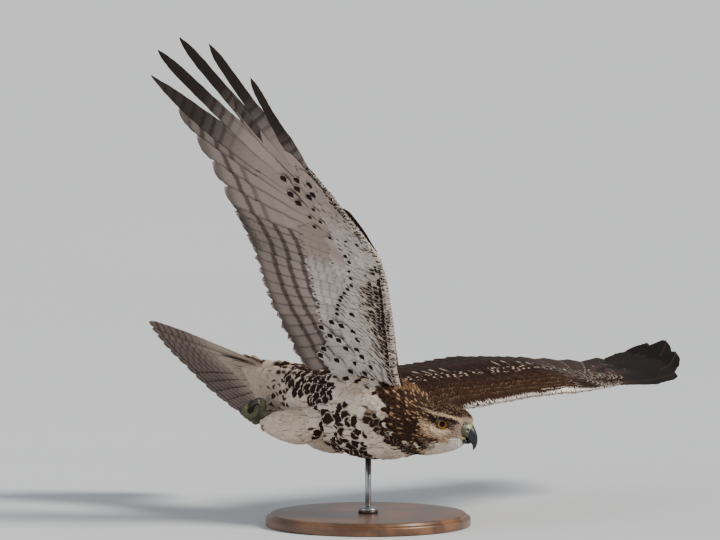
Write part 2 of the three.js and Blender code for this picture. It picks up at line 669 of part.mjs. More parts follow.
// Tail: a flat root pad, twelve feathers that lie outward under each other, and coverts
function tailParts() {
  const roll = rad(TAIL_ROLL);
  const down = rad(TAIL_DOWN);
  const back = new THREE.Vector3(-Math.cos(down), 0, -Math.sin(down));
  const left = new THREE.Vector3(0, Math.cos(roll), -Math.sin(roll));
  const up = left.clone().cross(back);
  const place = (u, v, height) =>
    vec(TAIL_PLACE).addScaledVector(left, u).addScaledVector(back, v).addScaledVector(up, height);
  const fan = (count, spread, rootAt, length, options) =>
    Array.from({ length: count }, (_, i) => {
      const s = (2 * i) / (count - 1) - 1;
      const angle = rad(spread) * s;
      const aim = (r) => [Math.sin(angle) * r, Math.cos(angle) * r];
      const layer = -Math.abs(s) * ((count - 1) / 2) * TAIL_STEP;
      return vane(place, {
        root: aim(rootAt), tip: aim(length), outline: ROUND_TIP,
        bow: -3 * s, tilt: 0.8 * Math.sign(s), ...options, height: options.height + layer,
      });
    });
  const rear = TORSO_X[0] - GAP;
  const section = torsoRing(TORSO_X[0]);
  const rings = TAIL_PAD_STEPS.map((step, i) =>
    section.map((p) => {
      const flat = TAIL_PAD_HEIGHTS[i];
      const rise = TORSO_RISE[0];
      const lowered = rise + (p.z - rise) * flat - step * Math.tan(down) - 2 * (1 - flat);
      return new THREE.Vector3(rear - step, p.y * (1 + TAIL_PAD_WIDENING * i), lowered);
    }));
  const pieces = [loft(rings)];
  const long = { halfWidth: TAIL_HALF_WIDTH, height: 0 };
  pieces.push(...fan(TAIL_FEATHERS, TAIL_SPREAD, TAIL_ROOT, TAIL_LENGTH, long));
  for (const { spread, length, height } of TAIL_COVERTS) {
    const short = { halfWidth: TAIL_COVERT_HALF_WIDTH, height, outline: STUB_TIP };
    pieces.push(...fan(TAIL_COVERT_COUNT, spread, TAIL_COVERT_ROOT, length, short));
  }
  const clearance = new THREE.BoxGeometry(400, 400, 400);
  clearance.translate(rear + 200, 0, 0);
  return largest(joined(pieces).subtract(solid(clearance)));
}

// The ball of the foot, a flattened sphere about the base of the toes
function palmOf(base) {
  const palm = sphere(PALM_RADIUS, [0, 0, 0], PALM_STRETCH, 8);
  return palm.translate(base.x, base.y, base.z);
}

// Leg, foot and claws of one side. The toes are clenched round a circle behind the tarsus.
function legParts({ side, thigh, girth, ankle, toeBase }, body) {
  const heel = vec(ankle);
  const base = vec(toeBase);
  const trail = base.clone().sub(heel).normalize();
  const across = new THREE.Vector3(0, 1, 0);
  const rise = across.clone().cross(trail).normalize();
  if (rise.z < 0) rise.negate();
  const fistCentre = base.clone().addScaledVector(trail, FIST_RADIUS * FIST_FORWARD);
  const onFist = (degrees, radius, offset) =>
    fistCentre.clone()
      .addScaledVector(trail, radius * Math.cos(rad(degrees)))
      .addScaledVector(rise, radius * Math.sin(rad(degrees)))
      .addScaledVector(across, offset).toArray();
  const palm = base.clone().addScaledVector(trail, 1);
  const tarsus = (grow) => {
    const start = heel.clone().addScaledVector(trail, -TARSUS_SUNK - grow);
    const route = [start, start.clone().lerp(palm, 0.5), palm].map((p) => p.toArray());
    return sweep(route, TARSUS_GIRTHS.map((r) => r + grow), 8);
  };
  const leg = largest(solid(smoothSweep(thigh, girth, 7, 12)).subtract(body).subtract(solid(tarsus(GAP))));
  const pieces = [tarsus(0), palmOf(base)];
  const claws = [];
  const digit = ({ offset, sweepFrom, sweepTo, radius, thickness, clawTurn, clawGirth }) => {
    const route = Array.from({ length: LIMB_STEPS + 1 }, (_, i) => {
      const t = i / LIMB_STEPS;
      return onFist(sweepFrom + (sweepTo - sweepFrom) * t, radius, offset * Math.min(1, 0.45 + 1.1 * t));
    });
    pieces.push(sweep(route, route.map((_, i) => thickness * (1 - 0.05 * i)), 6));
    const claw = { offset, start: sweepTo, radius, turn: clawTurn, girth: clawGirth };
    claws.push((grow) => clawShape(onFist, { ...claw, grow }));
  };
  for (const offset of TOE_SPLAY)
    digit({
      offset, sweepFrom: TOE_SWEEP[0], sweepTo: TOE_SWEEP[1], radius: FIST_RADIUS,
      thickness: TOE_GIRTH, clawTurn: CLAW_SWEEP, clawGirth: CLAW_GIRTH,
    });
  digit({
    offset: side * HALLUX_ASIDE, sweepFrom: HALLUX_SWEEP[0], sweepTo: HALLUX_SWEEP[1],
    radius: FIST_RADIUS + HALLUX_OUT, thickness: TOE_GIRTH,
    clawTurn: -HALLUX_CLAW_SWEEP, clawGirth: HALLUX_CLAW_GIRTH,
  });
  const foot = claws.reduce((sum, claw) => sum.subtract(solid(claw(GAP))), joined(pieces));
  return { leg, foot: largest(foot), claws: claws.map((claw) => solid(claw(0))) };
}

// A claw that carries on round the fist from the end of its toe, seated a little way into it
function clawShape(onFist, { offset, start, radius, turn, girth, grow }) {
  const seat = THREE.MathUtils.radToDeg((CLAW_SEAT + grow) / radius);
  const begin = start - Math.sign(turn) * seat;
  const route = Array.from({ length: LIMB_STEPS + 1 }, (_, i) => {
    const t = i / LIMB_STEPS;
    return onFist(begin + (turn + Math.sign(turn) * seat) * t, radius - CLAW_CURL * t * t, offset);
  });
  return sweep(route, route.map((_, i) => girth * (1 - (0.9 * i) / LIMB_STEPS) + grow), 5);
}

function standParts() {
  const r = BASE_RADIUS;
  const t = BASE_THICKNESS;
  const b = BASE_BEVEL;
  const disc = (radius, low, high, bevel, sides) => {
    const profile = [[0, low], [radius, low], [radius, high - bevel], [radius - bevel, high], [0, high]];
    const shape = new THREE.LatheGeometry(profile.map((p) => new THREE.Vector2(p[0], p[1])), sides);
    return shape.rotateX(Math.PI / 2);
  };
  const rod = new THREE.CylinderGeometry(ROD_RADIUS, ROD_RADIUS, BODY_HEIGHT, 16);
  rod.rotateX(Math.PI / 2);
  rod.translate(0, 0, t + COLLAR_HEIGHT + GAP + BODY_HEIGHT / 2);
  const bodyAround = torsoShape(BODY_CLEARANCE).applyMatrix4(bird.matrixWorld);
  const cut = solid(rod).subtract(solid(bodyAround)).decompose()
    .reduce((low, one) => (one.boundingBox().min[2] < low.boundingBox().min[2] ? one : low));
  return {
    stand_base: disc(r, 0, t, b, 48),
    stand_collar: disc(COLLAR_RADIUS, t + GAP, t + COLLAR_HEIGHT, COLLAR_BEVEL, 24),
    stand_rod: geometryOf(cut),
  };
}

// Finishes
const finish = (color, roughness, metalness = 0) => ({ color, roughness, metalness });
const CREAM = finish("#d9cdbb", 0.9);
const BROWN = finish("#4b382c", 0.9);
const GREY_BUFF = finish("#b3a596", 0.85);
const HORN = finish("#25242a", 0.35);
const CERE_GREEN = finish("#9fa56c", 0.5);
const IRIS = finish("#b8853c", 0.15);
const FOOT_YELLOW = finish("#8a8445", 0.6);
const WOOD = finish("#6a4b33", 0.45);
const STEEL = finish("#8f9296", 0.35, 1);

const model = new THREE.Group();
model.add(bird);

function addMesh(group, name, geometry, look) {
  const mesh = new THREE.Mesh(geometry, new THREE.MeshStandardMaterial(look));
  mesh.name = name;
  group.add(mesh);
}

function buildBird() {
  const body = solid(torsoShape(BODY_CLEARANCE)).add(solid(neckShape(BODY_CLEARANCE)));
  addMesh(bird, "torso", torsoShape(), CREAM);
  addMesh(bird, "neck", neckShape(), CREAM);
  const looks = {
    head: BROWN, cere: CERE_GREEN, bill_upper: HORN, bill_lower: HORN, eye_left: IRIS, eye_right: IRIS,
  };
  for (const [name, part] of Object.entries(headParts()))
    addMesh(bird, name, geometryOf(part).applyMatrix4(HEAD_FRAME), looks[name]);
  for (const [side, wing] of [["right", RIGHT_WING], ["left", LEFT_WING]]) {
    const { arm, hand } = wingParts(wing, body);
    addMesh(bird, "wing_arm_" + side, geometryOf(arm), GREY_BUFF);
    addMesh(bird, "wing_hand_" + side, geometryOf(hand), GREY_BUFF);
  }
  addMesh(bird, "tail", geometryOf(tailParts()), GREY_BUFF);
  for (const [side, limb] of Object.entries(LEGS)) {
    const { leg, foot, claws } = legParts(limb, body);
    addMesh(bird, "leg_" + side, geometryOf(leg), CREAM);
    addMesh(bird, "foot_" + side, geometryOf(foot), FOOT_YELLOW);
    claws.forEach((claw, i) => addMesh(bird, "claw_" + side + "_" + (i + 1), geometryOf(claw), HORN));
  }
}

buildBird();
const standLooks = { stand_base: WOOD, stand_collar: STEEL, stand_rod: STEEL };
for (const [name, shape] of Object.entries(standParts())) addMesh(model, name, shape, standLooks[name]);

export default model;
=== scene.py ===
"""The looks of a young red-tailed hawk in banking flight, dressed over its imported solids.

Shapes are worked out in millimetres in the bird's own frame, +X ahead, +Y to its left and +Z up from
its back, and are turned into the part's frame, in metres, when a mesh is made.
"""

import math
import bmesh
import bpy
import numpy as np
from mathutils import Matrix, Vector
from mathutils.bvhtree import BVHTree
from mathutils.kdtree import KDTree


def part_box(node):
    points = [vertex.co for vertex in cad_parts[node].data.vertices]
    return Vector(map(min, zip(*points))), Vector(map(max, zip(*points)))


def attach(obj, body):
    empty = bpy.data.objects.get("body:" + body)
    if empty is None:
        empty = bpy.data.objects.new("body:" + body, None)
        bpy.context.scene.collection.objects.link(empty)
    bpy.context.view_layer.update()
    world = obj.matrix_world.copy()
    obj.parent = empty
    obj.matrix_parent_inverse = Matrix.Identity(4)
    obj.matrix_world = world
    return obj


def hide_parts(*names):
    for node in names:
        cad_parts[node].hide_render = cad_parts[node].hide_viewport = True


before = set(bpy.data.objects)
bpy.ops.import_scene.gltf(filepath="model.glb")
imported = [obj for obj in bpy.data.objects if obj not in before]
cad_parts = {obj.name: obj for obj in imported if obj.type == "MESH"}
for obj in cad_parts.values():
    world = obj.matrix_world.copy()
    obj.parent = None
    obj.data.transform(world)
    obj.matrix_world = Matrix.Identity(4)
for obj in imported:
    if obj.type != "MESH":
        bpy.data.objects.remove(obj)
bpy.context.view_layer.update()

SEED = 7
draw = np.random.default_rng(SEED)
MM = 0.001

# Pose and places, the same named values as the solids have
BANK = 31.25
NOSE_DOWN = 4.1
BIRD_PLACE = np.array([-5.0, -10.0, 150.0])
TORSO_X = [-166, -140, -110, -70, -25, 20, 60, 92]
TORSO_RISE = [20, 14, 8, 4, 0, 0, 2, 6]
TORSO_UP = [14, 27, 40, 51, 56, 57, 54, 46]
TORSO_DOWN = [26, 36, 42, 49, 57, 59, 57, 52]
NECK_REACH = 52
HEAD_PLACE = np.array([158.0, 8.0, 16.0])
HEAD_TURN = 30.8
HEAD_NOSE_DOWN = 4.1
HEAD_A = [-24, -12, 0, 10, 18, 25, 30.5, 34.5, 36.2]
HEAD_RISE = [-10, -6, -4, -4, -5, -6, -5.5, -2, 1]
HEAD_UP = [30, 30.5, 30, 28.3, 26.5, 24, 19.5, 11, 5]
HEAD_DOWN = [36, 38, 35.5, 32, 27, 19.5, 14, 8, 4]
EYE_RADIUS = 8.4
EYE_PLACE = np.array([-2, 14.5, 0])
EYE_AXIS = np.array([0.26, 0.965, 0.03])
LID_RADIUS = 7.0
BILL_TOP = [[27, 5], [33, 2.6], [37.6, -3], [41, -9.5], [42.8, -16], [42.8, -23], [40.8, -29], [38.2, -32.4]]
BILL_BOTTOM = [
    [24, -15.2], [29, -17], [31.2, -20], [33, -22.4], [34.8, -23.8], [36.6, -26], [37.2, -29.6],
    [37.6, -32.6],
]
BILL_HALF_WIDTH = [10.2, 8.4, 6.8, 5.5, 4.3, 3, 1.7, 0.5]
CERE_END = 1.5
CERE_HALF_WIDTH = [14.2, 10.4, 7.2]
LOWER_BILL_TOP = [[19, -16], [28.5, -17.7], [30.7, -20.8], [33, -23.1]]
LOWER_BILL_BOTTOM = [[19, -24], [26, -25], [30, -25], [33, -24.3]]
LOWER_BILL_HALF_WIDTH = [9, 6.6, 4.6, 2.2]
NOSTRIL = np.array([31.6, 10.0, -5.4])
GAPE = [[3, 22.2, -14.6], [10, 19.8, -15.6], [18, 15.8, -16.2], [25, 11.8, -16.4], [29, 8.6, -17.4]]

SHOULDER = np.array([60.0, 40.0, 32.0])
WING_LEAD = [
    [-20, 20, 105, 173, 199, 246, 304, 382, 487, 560],
    [-30, -36, -64, -84, -87, -71, -45, -7, 10, 25],
]
WING_TRAIL = [[-20, 34, 85, 140, 220, 338, 433, 484, 560], [118, 128, 135, 138, 129, 138, 152, 183, 190]]
CAMBER = [[0, 200, 300, 420], [12, 11, 6, 2]]
ELBOW = [109, -7]
WRIST = [192, -73]
HAND_END = [296, -34]
CORE_U = [-45, 0, 50, 109, 160, 199, 250, 300]
CORE_DEPTH = [15, 14, 11.5, 9, 7.5, 6.8, 4.6, 2.4]
CORE_CHORD = [0.62, 0.6, 0.52, 0.45, 0.4, 0.36, 0.26, 0.14]
RIGHT_WING = {
    "name": "right", "side": -1, "dihedral": 29, "twist": 11, "yaw": 0,
    "hump": [[0, 560], [0, 0]], "wash": [[0, 560], [0, 0]],
    "dark": [0, 0, 0, 0.2, 0.9, 1, 1, 0.8, 1, 1], "finger_width": 1.0, "finger_tilt": 5.5,
    "tips": [
        [305, 136], [345, 139], [388, 146], [435, 157], [484, 183],
        [524, 153], [546, 107], [452, 58], [537, 60], [487, 10],
    ],
}
LEFT_WING = {
    "name": "left", "side": 1, "dihedral": 32, "twist": 0, "yaw": 3,
    "hump": [[0, 40, 130, 185, 230, 320, 420, 500, 545], [4, 14, 23.5, 27.5, 24, 13.5, 4, 7, 28]],
    "wash": [[0, 85, 130, 320, 420, 560], [-10, -6, -4, -4, -2, 0]],
    "dark": [0, 0, 0.1, 0.35, 0.9, 1, 1, 1, 1, 1], "finger_width": 1.65, "finger_tilt": -9,
    "tips": [
        [308, 134], [352, 133], [398, 134], [452, 134], [506, 134],
        [532, 122], [546, 100], [470, 62], [528, 62], [480, 12],
    ],
}
SECONDARIES = 12
TERTIALS = 3
FINGERS_FROM = 5
VANE_TILT = 5.5

TAIL_PLACE = np.array([-128.0, 0.0, 29.0])
TAIL_ROLL = 7.5
TAIL_DOWN = 5.2
TAIL_SPREAD = 28
TAIL_FEATHERS = 12
TAIL_ROOT = 50
TAIL_LENGTH = 238
TAIL_STEP = 1.05

LEGS = {
    "right": {
        "side": -1,
        "thigh": [[-6, -30, -24], [-52, -37, -50], [-96, -36, -54], [-128, -34, -56]],
        "ankle": [-112, -33, -43],
        "toe_base": [-146, -31, -42],
    },
    "left": {
        "side": 1,
        "thigh": [[-10, 26, -14], [-60, 36, -30], [-98, 34, -36], [-124, 33, -37]],
        "ankle": [-120, 32, -37],
        "toe_base": [-149, 30, -35],
    },
}
THIGH_END = -106
FIST_RADIUS = 11.5
TOE_SPLAY = [-9.2, 0, 9.2]
TOE_SWEEP = [-165, 25]
HALLUX_SWEEP = [178, 112]
CLAW_SWEEP = 78
HALLUX_CLAW_SWEEP = 52

BASE_RADIUS = 135
BASE_THICKNESS = 16

# The view of the photo: 720 x 540 pixels, with the torso centre at a known pixel
PIXELS_PER_MM = 0.76
TORSO_PIXEL = (360, 412)
FRAME_CENTRE_PIXEL = (360, 270)
FRAME_WIDTH_PIXELS = 720
VIEW_AZIMUTH = 49.34
VIEW_ELEVATION = 6.0
CAMERA_DISTANCE = 30.0
SENSOR_MM = 36.0


def linear(code):
    """A hexadecimal screen colour as linear red, green and blue."""
    share = np.array([int(code[i:i + 2], 16) for i in (1, 3, 5)]) / 255
    return np.where(share <= 0.04045, share / 12.92, ((share + 0.055) / 1.055) ** 2.4)


WHITE = linear("#ddd2c8")
CREAM = linear("#cfb89f")
BUFF = linear("#9c7550")
RUFOUS = linear("#6b3e26")
BROWN = linear("#3f2719")
DARK = linear("#22140f")
BLACK = linear("#0c0808")
GREY_BUFF = linear("#96857b")
GREY = linear("#5e514b")
DUSKY = linear("#392e29")


def spin(axis, degrees):
    c = math.cos(math.radians(degrees))
    s = math.sin(math.radians(degrees))
    if axis == "X":
        return np.array([[1, 0, 0], [0, c, -s], [0, s, c]])
    if axis == "Y":
        return np.array([[c, 0, s], [0, 1, 0], [-s, 0, c]])
    return np.array([[c, -s, 0], [s, c, 0], [0, 0, 1]])


BIRD = spin("Y", NOSE_DOWN) @ spin("X", -BANK)
HEAD = BIRD.T @ spin("Z", HEAD_TURN) @ spin("Y", HEAD_NOSE_DOWN)


def to_part(points):
    """From the bird's frame in millimetres to the part's frame in metres."""
    return (points @ BIRD.T + BIRD_PLACE) * MM


def from_part(points):
    return (points / MM - BIRD_PLACE) @ BIRD


def head_to_bird(points):
    return np.asarray(points, float) @ HEAD.T + HEAD_PLACE


def bird_to_head(points):
    return (points - HEAD_PLACE) @ HEAD


def circle(count):
    """Evenly spaced angles, once round."""
    return np.linspace(0, 2 * math.pi, count + 1)[:-1]


def unit(v):
    return v / np.maximum(np.linalg.norm(v, axis=-1, keepdims=True), 1e-9)


def mix(a, b, t):
    return np.asarray(a) + (np.asarray(b) - np.asarray(a)) * t


def smooth(low, high, x):
    t = np.clip((np.asarray(x, float) - low) / (high - low), 0, 1)
    return t * t * (3 - 2 * t)


def curve_points(points, count):
    """Points on a smooth curve through the given ones, evenly spaced by index."""
    p = np.asarray(points, float)
    p = np.vstack([2 * p[0] - p[1], p, 2 * p[-1] - p[-2]])
    out = []
    for x in np.linspace(0, len(points) - 1, count):
        i = min(int(x), len(points) - 2)
        t = x - i
        a, b, c, d = p[i:i + 4]
        out.append(0.5 * (2 * b + (c - a) * t + (2 * a - 5 * b + 4 * c - d) * t ** 2
                          + (3 * b - a - 3 * c + d) * t ** 3))
    return np.array(out)


def link(piece):
    bpy.context.scene.collection.objects.link(piece)
    return piece


def mesh_object(name, points, faces, layers=None, uv=None, place=to_part):
    """A mesh from arrays. faces is a list of index arrays, each with a fixed number of corners."""
    mesh = bpy.data.meshes.new(name)
    sizes = np.concatenate([np.full(len(f), f.shape[1]) for f in faces])
    corners = np.concatenate([np.asarray(f).ravel() for f in faces]).astype(np.int32)
    mesh.vertices.add(len(points))
    mesh.vertices.foreach_set("co", place(points).astype(np.float32).ravel())
    mesh.loops.add(len(corners))
    mesh.loops.foreach_set("vertex_index", corners)
    mesh.polygons.add(len(sizes))
    starts = np.concatenate([[0], np.cumsum(sizes)[:-1]]).astype(np.int32)
    mesh.polygons.foreach_set("loop_start", starts)
    mesh.polygons.foreach_set("use_smooth", np.full(len(sizes), True))
    mesh.update(calc_edges=True)
    for key, values in (layers or {}).items():
        values = np.asarray(values, np.float32)
        kind, slot = ("FLOAT_VECTOR", "vector") if values.ndim > 1 else ("FLOAT", "value")
        mesh.attributes.new(key, kind, "POINT").data.foreach_set(slot, values.ravel())
    if uv is not None:
        mesh.uv_layers.new(name="OFBake").data.foreach_set("uv", uv[corners].astype(np.float32).ravel())
    return link(bpy.data.objects.new(name, mesh))


def dress(piece, material, replaces=()):
    """Gives a piece its material and slot, hangs it under the root, and hides the solids it stands for."""
    piece.data.materials.append(material)
    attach(piece, "root")
    if replaces:
        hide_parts(*replaces)


def grid_faces(rows, columns, wrap=False, flip=False):
    """Quads of a grid of points, closed round its columns where wrap is set."""
    i = np.arange(rows - 1)[:, None] * columns
    k = np.arange(columns if wrap else columns - 1)[None, :]
    nxt = (k + 1) % columns
    quads = np.stack([i + k, i + nxt, i + nxt + columns, i + k + columns], -1).reshape(-1, 4)
    return quads[:, ::-1] if flip else quads


# Feathers. A shape is a list of stations from root to tip, each with its share of the half-width.


def assemble(name, top, under, layers, uv):
    """One mesh of many vanes. top and under are grids of points of each vane, joined along their rims."""
    count, rows, columns, _ = top.shape
    points = np.concatenate([top, under], 1).reshape(-1, 3)
    one = np.concatenate([grid_faces(rows, columns), grid_faces(rows, columns, flip=True) + rows * columns])
    quads = (one[None] + (np.arange(count) * 2 * rows * columns)[:, None, None]).reshape(-1, 4)
    both = {}
    for key, (over, below) in layers.items():
        pair = np.concatenate([over, below], 1)
        both[key] = pair.reshape(-1, pair.shape[-1]) if pair.ndim > 3 else pair.ravel()
    return mesh_object(name, points, [quads], both, uv.reshape(-1, 2))


BODY_SHAPE = [[0, 0.35], [0.3, 0.8], [0.6, 1], [0.82, 0.92], [0.94, 0.66], [1, 0.3]]
COVERT_SHAPE = [[0, 0.3], [0.35, 0.9], [0.65, 1], [0.86, 0.9], [0.95, 0.62], [1, 0.26]]
FLIGHT_SHAPE = [
    [0, 0.22], [0.15, 0.6], [0.35, 0.92], [0.7, 1], [0.9, 0.92], [0.955, 0.74], [0.985, 0.46], [1, 0.18],
]
FINGER_SHAPE = [
    [0, 0.22], [0.2, 0.66], [0.42, 1], [0.5, 0.98], [0.6, 0.74], [0.7, 0.66], [0.86, 0.6], [0.93, 0.5],
    [0.975, 0.3], [1, 0.06],
]
LOBE_SHAPE = [
    [0, 0.2], [0.3, 0.6], [0.55, 0.94], [0.8, 1], [0.9, 0.92], [0.95, 0.74], [0.985, 0.46], [1, 0.22],
]
POINT_SHAPE = [
    [0, 0.22], [0.2, 0.7], [0.45, 1], [0.66, 0.96], [0.8, 0.74], [0.9, 0.5], [0.97, 0.2], [1, 0.04],
]
TAIL_SHAPE = [[0, 0.25], [0.3, 0.7], [0.7, 1], [0.93, 0.94], [0.98, 0.66], [1, 0.3]]
PATCH_SIZE = 0.003


def outline(rows, shape):
    """Share of the half-width at each place along a feather."""
    return np.interp(rows, *zip(*shape))


def shares(count, crowd=1.35):
    """Stations from root to tip, closer together towards the tip."""
    return 1 - (1 - np.linspace(0, 1, count)) ** crowd


def patches(u, v, rows, columns):
    """A small patch for each tuft, at its root's place on the unwrap, the same for both of its faces."""
    s = np.linspace(-0.5, 0.5, rows)[None, :, None]
    c = np.linspace(-0.5, 0.5, columns)[None, None, :]
    u, v = u[:, None, None], v[:, None, None]
    one = np.stack([u + PATCH_SIZE * c + 0 * s, v + PATCH_SIZE * s + 0 * c], -1)
    return np.concatenate([one, one], 1)


def cells(count, rows, columns):
    """A cell of its own for each face of each large vane."""
    across = math.ceil(math.sqrt(2 * count / 3))
    down = math.ceil(2 * count / across)
    k = np.arange(2 * count).reshape(count, 2)
    s = np.linspace(0.04, 0.96, rows)[None, None, :, None]
    c = np.linspace(0.06, 0.94, columns)[None, None, None, :]
    uu = ((k % across)[:, :, None, None] + c + 0 * s) / across
    vv = ((k // across)[:, :, None, None] + s + 0 * c) / down
    return np.stack([uu, vv], -1).reshape(count, 2 * rows, columns, 2)


def plume_layers(s, c, random, along_mm, half, marks):
    """What the plumage material reads, for each point of one face of the vanes.

    marks holds, for each vane or each point: ground and ink colours, the mark's half-width and end,
    and the bars' phase, dark share and strength.
    """
    shape = (len(random), s.shape[-2], c.shape[-1])
    spread = lambda x: np.broadcast_to(np.asarray(x, float), shape)
    per = lambda x: spread(x if np.ndim(x) == 3 else np.reshape(x, (-1, 1, 1)))
    fill = lambda x: x if np.ndim(x) == 4 else np.asarray(x)[:, None, None, :]
    colour = lambda x: np.broadcast_to(fill(x), shape + (3,))
    several = lambda keys: np.stack([per(marks.get(key, base)) for key, base in keys.items()], -1)
    barb = along_mm - np.abs(c) * half * 1.1
    return {
        "plume": np.stack([spread(s), spread(c), per(random)], -1),
        "ground": colour(marks["ground"]),
        "ink": colour(marks["ink"]),
        "pattern": several({"width": 0, "start": 0.2, "end": 0.95}),
        "bars": several({"phase": 0, "share": 0, "bar": 0}),
        "barb": spread(barb),
    }


def painted(colour, shape, coats=()):
    """A colour for each point of some vanes, with further coats (a share and a colour) laid over it."""
    colour = np.broadcast_to(colour, shape + (3,))
    for share, other in coats:
        colour = mix(colour, other, np.broadcast_to(share, shape)[..., None])
    return colour


def paired(over, below):
    return {key: (over[key], below[key]) for key in over}


# The lie of the coat: a line through the body, neck and head


def centre_line():
    """Stations with their distance along the line, place, direction, up, and reach up and down."""
    stations = []
    for x in np.arange(TORSO_X[0], TORSO_X[-1], 4.0):
        rise, high, low = (np.interp(x, TORSO_X, line) for line in (TORSO_RISE, TORSO_UP, TORSO_DOWN))
        stations.append(([x, 0, rise], [1, 0, 0], [0, 0, 1], high, low))
    start = np.array([92, 0, 5.0])
    end = head_to_bird([-24, 0, -10])
    leave = np.array([NECK_REACH, 0, 4.0])
    arrive = HEAD[:, 0] * NECK_REACH
    for t in np.linspace(0, 1, 14)[:-1]:
        place = (start * (2 * t ** 3 - 3 * t ** 2 + 1) + leave * (t ** 3 - 2 * t ** 2 + t)
                 + end * (3 * t ** 2 - 2 * t ** 3) + arrive * (t ** 3 - t ** 2))
        slope = (start * (6 * t ** 2 - 6 * t) + leave * (3 * t ** 2 - 4 * t + 1)
                 + end * (6 * t - 6 * t ** 2) + arrive * (3 * t ** 2 - 2 * t))
        stations.append((place, slope, mix([0, 0, 1], HEAD[:, 2], t), mix(46, 32, t), mix(52, 38, t)))
    for a in np.arange(HEAD_A[0], 34, 4.0):
        rise, high, low = (np.interp(a, HEAD_A, line) for line in (HEAD_RISE, HEAD_UP, HEAD_DOWN))
        stations.append((head_to_bird([a, 0, rise]), HEAD[:, 0], HEAD[:, 2], high, low))
    place, ahead, up, high, low = (np.array(part, float) for part in zip(*stations))
    step = np.linalg.norm(np.diff(place, axis=0), axis=1)
    along = np.concatenate([[0], np.cumsum(step)]) + TORSO_X[0]
    ahead = unit(ahead)
    return along, place, ahead, unit(up - ahead * (up * ahead).sum(1, keepdims=True)), high, low


LINE = centre_line()


def on_line(points):
    """For each point: distance along the line, height as a share of the body's there, side, direction."""
    along, place, ahead, up, high, low = LINE
    nearest = np.empty(len(points), int)
    for i in range(0, len(points), 20000):
        block = points[i:i + 20000]
        nearest[i:i + 20000] = ((block[:, None] - place[None]) ** 2).sum(2).argmin(1)
    off = points - place[nearest]
    rise = (off * up[nearest]).sum(1)
    left = np.cross(up[nearest], ahead[nearest])
    share = rise / np.where(rise > 0, high[nearest], low[nearest])
    along_there = along[nearest] + (off * ahead[nearest]).sum(1)
    return along_there, share, (off * left).sum(1), ahead[nearest]


FLESH = ("torso", "neck", "head", "leg_left", "leg_right")
# The solids are swollen a little, made one closed mesh and smoothed
SKIN_STEPS = (
    ("DISPLACE", {"strength": 0.0006, "mid_level": 0}),
    ("REMESH", {"mode": "VOXEL", "voxel_size": 0.00142}),
    ("SMOOTH", {"factor": 0.5, "iterations": 5}),
)
BROW = [[-12, 22.6, 7.6], [-4, 24.4, 9.2], [5, 23.4, 9.0], [13, 19.6, 7.0], [21, 14.2, 3.2]]
BROW_RADII = [2.0, 3.9, 4.4, 3.8, 1.6]
PAD_V = [-14, 10, 34, 58, 80, 98, 110]
PAD_HALF_WIDTH = [33, 33, 35, 37, 38, 38, 34]
PAD_UP = [11, 10, 8.6, 7, 5.6, 4.2, 2.4]
PAD_DOWN = [50, 58, 60, 50, 33, 17, 6]


def tail_pad():
    """Rings of the soft base of the tail, from inside the rump out over the roots of its feathers."""
    t = circle(36)
    v = curve_points(np.array([PAD_V]).T, 26)[:, :1]
    high, low, half = (np.interp(v, PAD_V, line) for line in (PAD_UP, PAD_DOWN, PAD_HALF_WIDTH))
    u = half * np.cos(t)
    height = np.where(np.sin(t) > 0, high, low) * np.sin(t)
    return tail_place(u, np.broadcast_to(v, u.shape), height)


def head_tube(route, radii, sides, squash=1.0):
    """A tube set out in the head's own places."""
    rings = tube(route, radii, sides, squash)
    return head_to_bird(rings.reshape(-1, 3)).reshape(rings.shape)


def flesh():
    """One skin over torso, neck, head and legs, as a mesh with no seams."""
    joined = bmesh.new()
    for name in FLESH:
        joined.from_mesh(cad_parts[name].data)
    extra = [tail_pad()]
    for side in (1, -1):
        route = curve_points(np.array(BROW) * [1, side, 1], 14)
        radii = np.interp(np.linspace(0, 1, 14), np.linspace(0, 1, len(BROW_RADII)), BROW_RADII)
        extra.append(head_tube(route, radii, 12))
    for rings in extra:
        form = mesh_object("form", *closed_tube(rings))
        joined.from_mesh(form.data)
        bpy.data.objects.remove(form)
    mesh = bpy.data.meshes.new("flesh")
    joined.to_mesh(mesh)
    joined.free()
    piece = link(bpy.data.objects.new("flesh", mesh))
    for kind, settings in SKIN_STEPS:
        step = piece.modifiers.new(kind.lower(), kind)
        for key, value in settings.items():
            setattr(step, key, value)
    done = piece.evaluated_get(bpy.context.evaluated_depsgraph_get())
    result = bpy.data.meshes.new_from_object(done)
    bpy.data.objects.remove(piece)
    return result


def mesh_arrays(mesh):
    """Places and normals of a mesh's points, in the bird's frame."""
    found = []
    for key in ("co", "normal"):
        values = np.empty(len(mesh.vertices) * 3, np.float32)
        mesh.vertices.foreach_get(key, values)
        found.append(values.reshape(-1, 3).astype(float))
    return from_part(found[0]), found[1] @ BIRD


def search_tree(mesh):
    return BVHTree.FromPolygons([v.co for v in mesh.vertices], [p.vertices for p in mesh.polygons])


def nearest_node(points):
    """The place in FLESH of the solid nearest to each point: 0 torso, 1 neck, 2 head, 3 and 4 legs."""
    world = to_part(points)
    trees = [search_tree(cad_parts[name].data) for name in FLESH]
    return np.array([[tree.find_nearest(Vector(p))[3] for p in world] for tree in trees]).argmin(0)


# Markings, the same for skin and coat


class Marks(dict):
    """What many feathers show: ground and ink colours, and their mark's width, start and end."""

    def paint(self, weight, **values):
        """Lays new values over the old ones, as far as weight says for each feather."""
        for key, value in values.items():
            self[key] = mix(self[key], value, weight[:, None] if key in ("ground", "ink") else weight)


